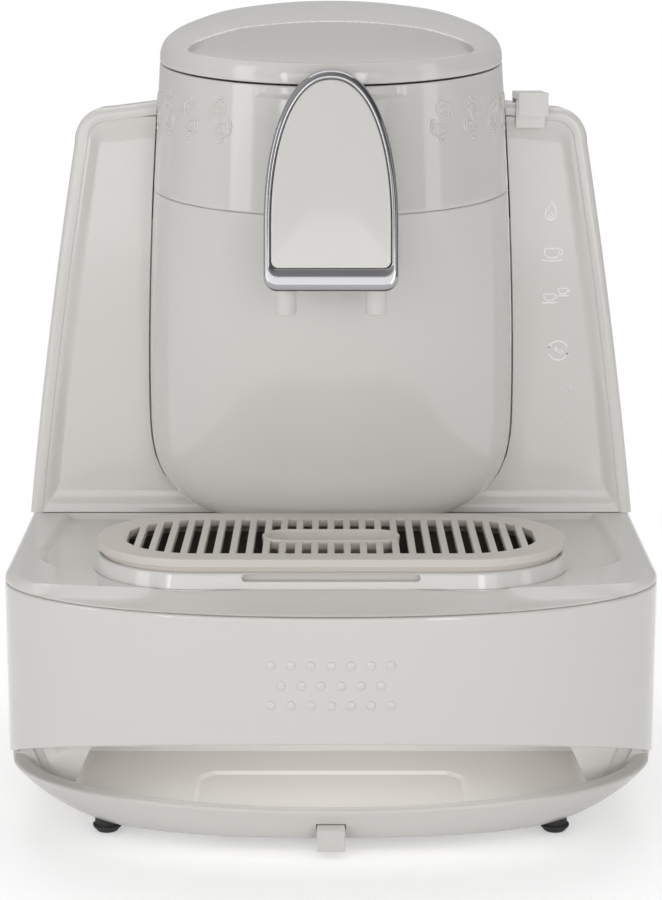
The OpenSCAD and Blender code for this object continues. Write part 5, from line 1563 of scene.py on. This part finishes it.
def dress_kept_nodes():
    """Finishes the CAD nodes that stay in view and rounds their edges a little."""
    for name, (slot_name, width) in KEPT.items():
        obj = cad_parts[name]
        obj.data.materials.clear()
        obj.data.materials.append(FINISHES[slot_name]())
        shade(obj, 34)
        if width:
            step = obj.modifiers.new("Soften", "BEVEL")
            step.width = width * MM
            step.segments = 2
            step.limit_method = "ANGLE"
            step.angle_limit = math.radians(40)
            step.use_clamp_overlap = True


# ---------------------------------------------------------------- studio

LENS = 90                      # focal length and sensor width in millimetres
SENSOR = 36
CAMERA_PLACE = (0, -0.9445, 0.325)
CAMERA_PITCH = math.radians(10.89)


def area_lamp(name, place, target, size, power, size_y=None):
    """Soft box or strip that faces a target, in metres and watts."""
    lamp = bpy.data.lights.new(name, "AREA")
    lamp.shape = "RECTANGLE"
    lamp.size, lamp.size_y = size, size_y or size
    lamp.energy = power
    obj = bpy.data.objects.new(name, lamp)
    bpy.context.scene.collection.objects.link(obj)
    obj.location = place
    aim = Vector(target) - Vector(place)
    obj.rotation_euler = aim.to_track_quat("-Z", "Y").to_euler()


# (share of the way from right to left, grey) of the surround that polished surfaces reflect
SURROUND = ((0.2, 0.10), (0.8, 0.75))


def build_world():
    """White to the camera and through glass, graded grey in reflections, even fill elsewhere."""
    world = bpy.data.worlds.new("studio_world")
    bpy.context.scene.world = world
    world.use_nodes = True
    tree = world.node_tree
    tree.nodes.clear()

    def background(colour, strength):
        return add_node(tree, "ShaderNodeBackground", {
            "Color": colour, "Strength": strength}).outputs[0]

    path = add_node(tree, "ShaderNodeLightPath").outputs
    place = add_node(tree, "ShaderNodeTexCoord")
    split = add_node(tree, "ShaderNodeSeparateXYZ", {0: place.outputs["Generated"]}).outputs
    ramp = add_node(tree, "ShaderNodeValToRGB", {
        0: math_node(tree, "MULTIPLY_ADD", split["X"], -0.5, 0.5)})
    for end, (position, grey) in zip(ramp.color_ramp.elements, SURROUND):
        end.position = position
        end.color = (grey, grey, grey, 1)
    surround = mix_colour(tree, soft_range(tree, split["Y"], 0.05, 0.55), ramp.outputs[0],
                          (0.5, 0.5, 0.5, 1))
    fill = background((*tone("studio"), 1), bpy.context.scene.coffee_sizes.fill)
    unseen = mix_shader(tree, path["Is Glossy Ray"], fill, background(surround, 1.0))
    seen = math_node(tree, "MAXIMUM", path["Is Camera Ray"], path["Is Transmission Ray"])
    add_node(tree, "ShaderNodeOutputWorld", {
        0: mix_shader(tree, seen, unseen, background((1, 1, 1, 1), 1.0))})


def floor_material():
    """Pale floor that looks white where it is lit and keeps the shadow; far off it is white."""
    material = bpy.data.materials.new("studio_floor")
    material.use_nodes = True
    tree = material.node_tree
    shader = tree.nodes["Principled BSDF"]
    grey = mix_colour(tree, noise(tree, 3.0, 2.0), (0.80, 0.80, 0.80, 1), (0.83, 0.83, 0.83, 1))
    plug(tree, shader.inputs["Base Color"], grey)
    plug(tree, shader.inputs["Roughness"], 0.75)
    path = add_node(tree, "ShaderNodeLightPath").outputs
    glow = add_node(tree, "ShaderNodeEmission", {"Strength": 0.42})
    lit = add_node(tree, "ShaderNodeAddShader", {0: shader.outputs[0], 1: glow.outputs[0]})
    direct = math_node(tree, "MAXIMUM", path["Is Camera Ray"], path["Is Glossy Ray"])
    near = mix_shader(tree, direct, shader.outputs[0], lit.outputs[0])
    place = add_node(tree, "ShaderNodeTexCoord")
    span = add_node(tree, "ShaderNodeVectorMath", {0: place.outputs["Object"]},
                    operation="LENGTH")
    fade = soft_range(tree, span.outputs["Value"], 0.35, 0.8)
    far = math_node(tree, "MULTIPLY", fade, path["Is Camera Ray"])
    white = add_node(tree, "ShaderNodeEmission", {"Strength": 1.0})
    plug(tree, tree.nodes["Material Output"].inputs["Surface"],
         mix_shader(tree, far, near, white.outputs[0]))
    return material


def build_stage():
    """Floor, world, soft boxes and the camera."""
    scene = bpy.context.scene
    sizes = scene.coffee_sizes
    reach = sizes.floor_reach / MM
    floor = make_object("studio_ground", *sheet_mesh(
        [[(x, y, -0.2) for x in np.linspace(-reach, reach, 9)]
         for y in np.linspace(-reach, reach, 9)]))
    floor.data.materials.append(floor_material())
    build_world()
    key = sizes.light
    area_lamp("left_box", (-1.25, -0.75, 0.45), (0, 0, 0.18), 0.4, 3.2 * key, size_y=1.2)
    area_lamp("right_box", (1.35, -0.55, 0.45), (0, 0, 0.18), 0.3, 1.6 * key, size_y=1.2)
    area_lamp("top_box", (0, 0.5, 1.5), (0, 0, 0.1), 1.4, 7.5 * key)
    area_lamp("front_box", (0.0, -2.2, 0.25), (0, 0, 0.10), 3.0, 18 * key, size_y=1.2)
    area_lamp("left_strip", (-0.62, -1.05, 0.22), (0, -0.1, 0.16), 0.07, 0.7 * key, size_y=0.8)
    area_lamp("right_strip", (0.40, -1.15, 0.22), (0, -0.1, 0.16), 0.14, 1.5 * key, size_y=0.9)
    area_lamp("store_box", (0, -0.075, 0.0535), (0, -0.045, 0), 0.17, 0.03 * key, size_y=0.06)
    camera = bpy.data.cameras.new("studio_camera")
    camera.lens = LENS
    camera.sensor_width = SENSOR
    camera.clip_start, camera.clip_end = 0.01, 50
    eye = bpy.data.objects.new("studio_camera", camera)
    scene.collection.objects.link(eye)
    eye.location = CAMERA_PLACE
    eye.rotation_euler = (math.pi / 2 - CAMERA_PITCH, 0, 0)
    scene.camera = eye
    scene.view_settings.view_transform = "Standard"


# ---------------------------------------------------------------- add-on

class CoffeeColours(bpy.types.PropertyGroup):
    """Colours of the coffee maker that a user would change."""

    shell: bpy.props.FloatVectorProperty(
        name="Shell", description="Moulded housing", default=(0.70, 0.682, 0.655),
        subtype="COLOR", min=0, max=1)
    grill: bpy.props.FloatVectorProperty(
        name="Grill", description="Textured drip grill", default=(0.66, 0.625, 0.575),
        subtype="COLOR", min=0, max=1)
    inner: bpy.props.FloatVectorProperty(
        name="Inner plastic", description="Mouldings inside the machine",
        default=(0.56, 0.545, 0.515), subtype="COLOR", min=0, max=1)
    # lighter than the shell: partly the lining's own tone and partly painted light for the shaded
    # store
    liner: bpy.props.FloatVectorProperty(
        name="Store lining", description="Glossy lining of the open store",
        default=(0.82, 0.80, 0.77), subtype="COLOR", min=0, max=1)
    dark: bpy.props.FloatVectorProperty(
        name="Dark plastic", description="Switch, pump and coil", default=(0.03, 0.03, 0.032),
        subtype="COLOR", min=0, max=1)
    chrome: bpy.props.FloatVectorProperty(
        name="Chrome", description="Plated surround of the nose", default=(0.36, 0.36, 0.37),
        subtype="COLOR", min=0, max=1)
    studio: bpy.props.FloatVectorProperty(
        name="Studio", description="Colour of the studio's fill light",
        default=(1.0, 1.0, 1.0), subtype="COLOR", min=0, max=1)
    shell_sheen: bpy.props.FloatProperty(
        name="Shell roughness", description="Roughness of the housing's gloss",
        default=0.085, min=0, max=1, subtype="FACTOR")


class CoffeeSizes(bpy.types.PropertyGroup):
    """Sizes and light levels of the scene that a user would change."""

    floor_reach: bpy.props.FloatProperty(
        name="Floor", description="Distance from the machine to the floor's edge", default=6.0,
        min=1, unit="LENGTH")
    light: bpy.props.FloatProperty(
        name="Light", description="Level of all the soft boxes together", default=1.0, min=0)
    fill: bpy.props.FloatProperty(
        name="Fill", description="Level of the studio's even light", default=0.40, min=0)


class COFFEE_OT_base(bpy.types.Operator):
    """Build the lower hull, its lining, the service latch and the feet"""

    bl_idname = "coffee.base"
    bl_label = "Hull"

    def execute(self, context):
        build_hull()
        build_liner()
        build_latch()
        build_feet()
        return {"FINISHED"}


class COFFEE_OT_drawer(bpy.types.Operator):
    """Build the bowed front of the waste drawer with its grip dots"""

    bl_idname = "coffee.drawer"
    bl_label = "Drawer front"

    def execute(self, context):
        build_drawer_front()
        return {"FINISHED"}


class COFFEE_OT_deck(bpy.types.Operator):
    """Build the deck with its saucer and crescent slope"""

    bl_idname = "coffee.deck"
    bl_label = "Deck"

    def execute(self, context):
        build_deck()
        return {"FINISHED"}


class COFFEE_OT_tray(bpy.types.Operator):
    """Build the drip tray"""

    bl_idname = "coffee.tray"
    bl_label = "Drip tray"

    def execute(self, context):
        build_tray()
        return {"FINISHED"}


class COFFEE_OT_grill(bpy.types.Operator):
    """Build the slotted drip grill with its grip"""

    bl_idname = "coffee.grill"
    bl_label = "Drip grill"

    def execute(self, context):
        build_grill()
        return {"FINISHED"}


class COFFEE_OT_column(bpy.types.Operator):
    """Build the column under the brewing head"""

    bl_idname = "coffee.column"
    bl_label = "Column"

    def execute(self, context):
        build_column()
        return {"FINISHED"}


class COFFEE_OT_head(bpy.types.Operator):
    """Build the head band with its relief and hinge ears"""

    bl_idname = "coffee.head"
    bl_label = "Head band"

    def execute(self, context):
        build_band()
        return {"FINISHED"}


class COFFEE_OT_lid(bpy.types.Operator):
    """Build the domed lid with its finger scoop"""

    bl_idname = "coffee.lid"
    bl_label = "Lid"

    def execute(self, context):
        build_lid()
        return {"FINISHED"}


class COFFEE_OT_nose(bpy.types.Operator):
    """Build the nose, its insert and the two spouts"""

    bl_idname = "coffee.nose"
    bl_label = "Nose and spouts"

    def execute(self, context):
        build_nose()
        build_spouts()
        return {"FINISHED"}


class COFFEE_OT_shield(bpy.types.Operator):
    """Build the shield and its two dished panels"""

    bl_idname = "coffee.shield"
    bl_label = "Shield"

    def execute(self, context):
        build_shield()
        return {"FINISHED"}


class COFFEE_OT_symbols(bpy.types.Operator):
    """Build the printed touch symbols and the light dots"""

    bl_idname = "coffee.symbols"
    bl_label = "Touch symbols"

    def execute(self, context):
        build_icons()
        return {"FINISHED"}


class COFFEE_OT_back(bpy.types.Operator):
    """Build the back housing with its vents"""

    bl_idname = "coffee.back"
    bl_label = "Back housing"

    def execute(self, context):
        build_rear_cover()
        return {"FINISHED"}


class COFFEE_OT_inside(bpy.types.Operator):
    """Finish the pieces that keep their CAD shape"""

    bl_idname = "coffee.inside"
    bl_label = "Working parts"

    def execute(self, context):
        dress_kept_nodes()
        return {"FINISHED"}


class COFFEE_OT_stage(bpy.types.Operator):
    """Build the floor, the lights and the camera"""

    bl_idname = "coffee.stage"
    bl_label = "Studio"

    def execute(self, context):
        build_stage()
        return {"FINISHED"}


STEPS = (
    COFFEE_OT_stage, COFFEE_OT_base, COFFEE_OT_drawer, COFFEE_OT_deck, COFFEE_OT_tray,
    COFFEE_OT_grill, COFFEE_OT_column, COFFEE_OT_head, COFFEE_OT_lid, COFFEE_OT_nose,
    COFFEE_OT_shield, COFFEE_OT_symbols, COFFEE_OT_back, COFFEE_OT_inside,
)


class COFFEE_PT_panel(bpy.types.Panel):
    """Lists the coffee maker's settings and building steps"""

    bl_idname = "COFFEE_PT_panel"
    bl_label = "Coffee maker"
    bl_space_type = "VIEW_3D"
    bl_region_type = "UI"
    bl_category = "Coffee maker"

    def draw(self, context):
        layout = self.layout
        for group in (context.scene.coffee_colours, context.scene.coffee_sizes):
            for key in group.__annotations__:
                layout.prop(group, key)
        for step in STEPS:
            layout.operator(step.bl_idname)


CLASSES = (CoffeeColours, CoffeeSizes, *STEPS, COFFEE_PT_panel)


def register():
    for cls in CLASSES:
        bpy.utils.register_class(cls)
    bpy.types.Scene.coffee_colours = bpy.props.PointerProperty(type=CoffeeColours)
    bpy.types.Scene.coffee_sizes = bpy.props.PointerProperty(type=CoffeeSizes)


def unregister():
    del bpy.types.Scene.coffee_sizes
    del bpy.types.Scene.coffee_colours
    for cls in reversed(CLASSES):
        bpy.utils.unregister_class(cls)


def main():
    register()
    for step in STEPS:
        group, name = step.bl_idname.split(".")
        if getattr(getattr(bpy.ops, group), name)() != {"FINISHED"}:
            raise RuntimeError(f"{step.bl_label} was not built")


if __name__ == "__main__":
    main()
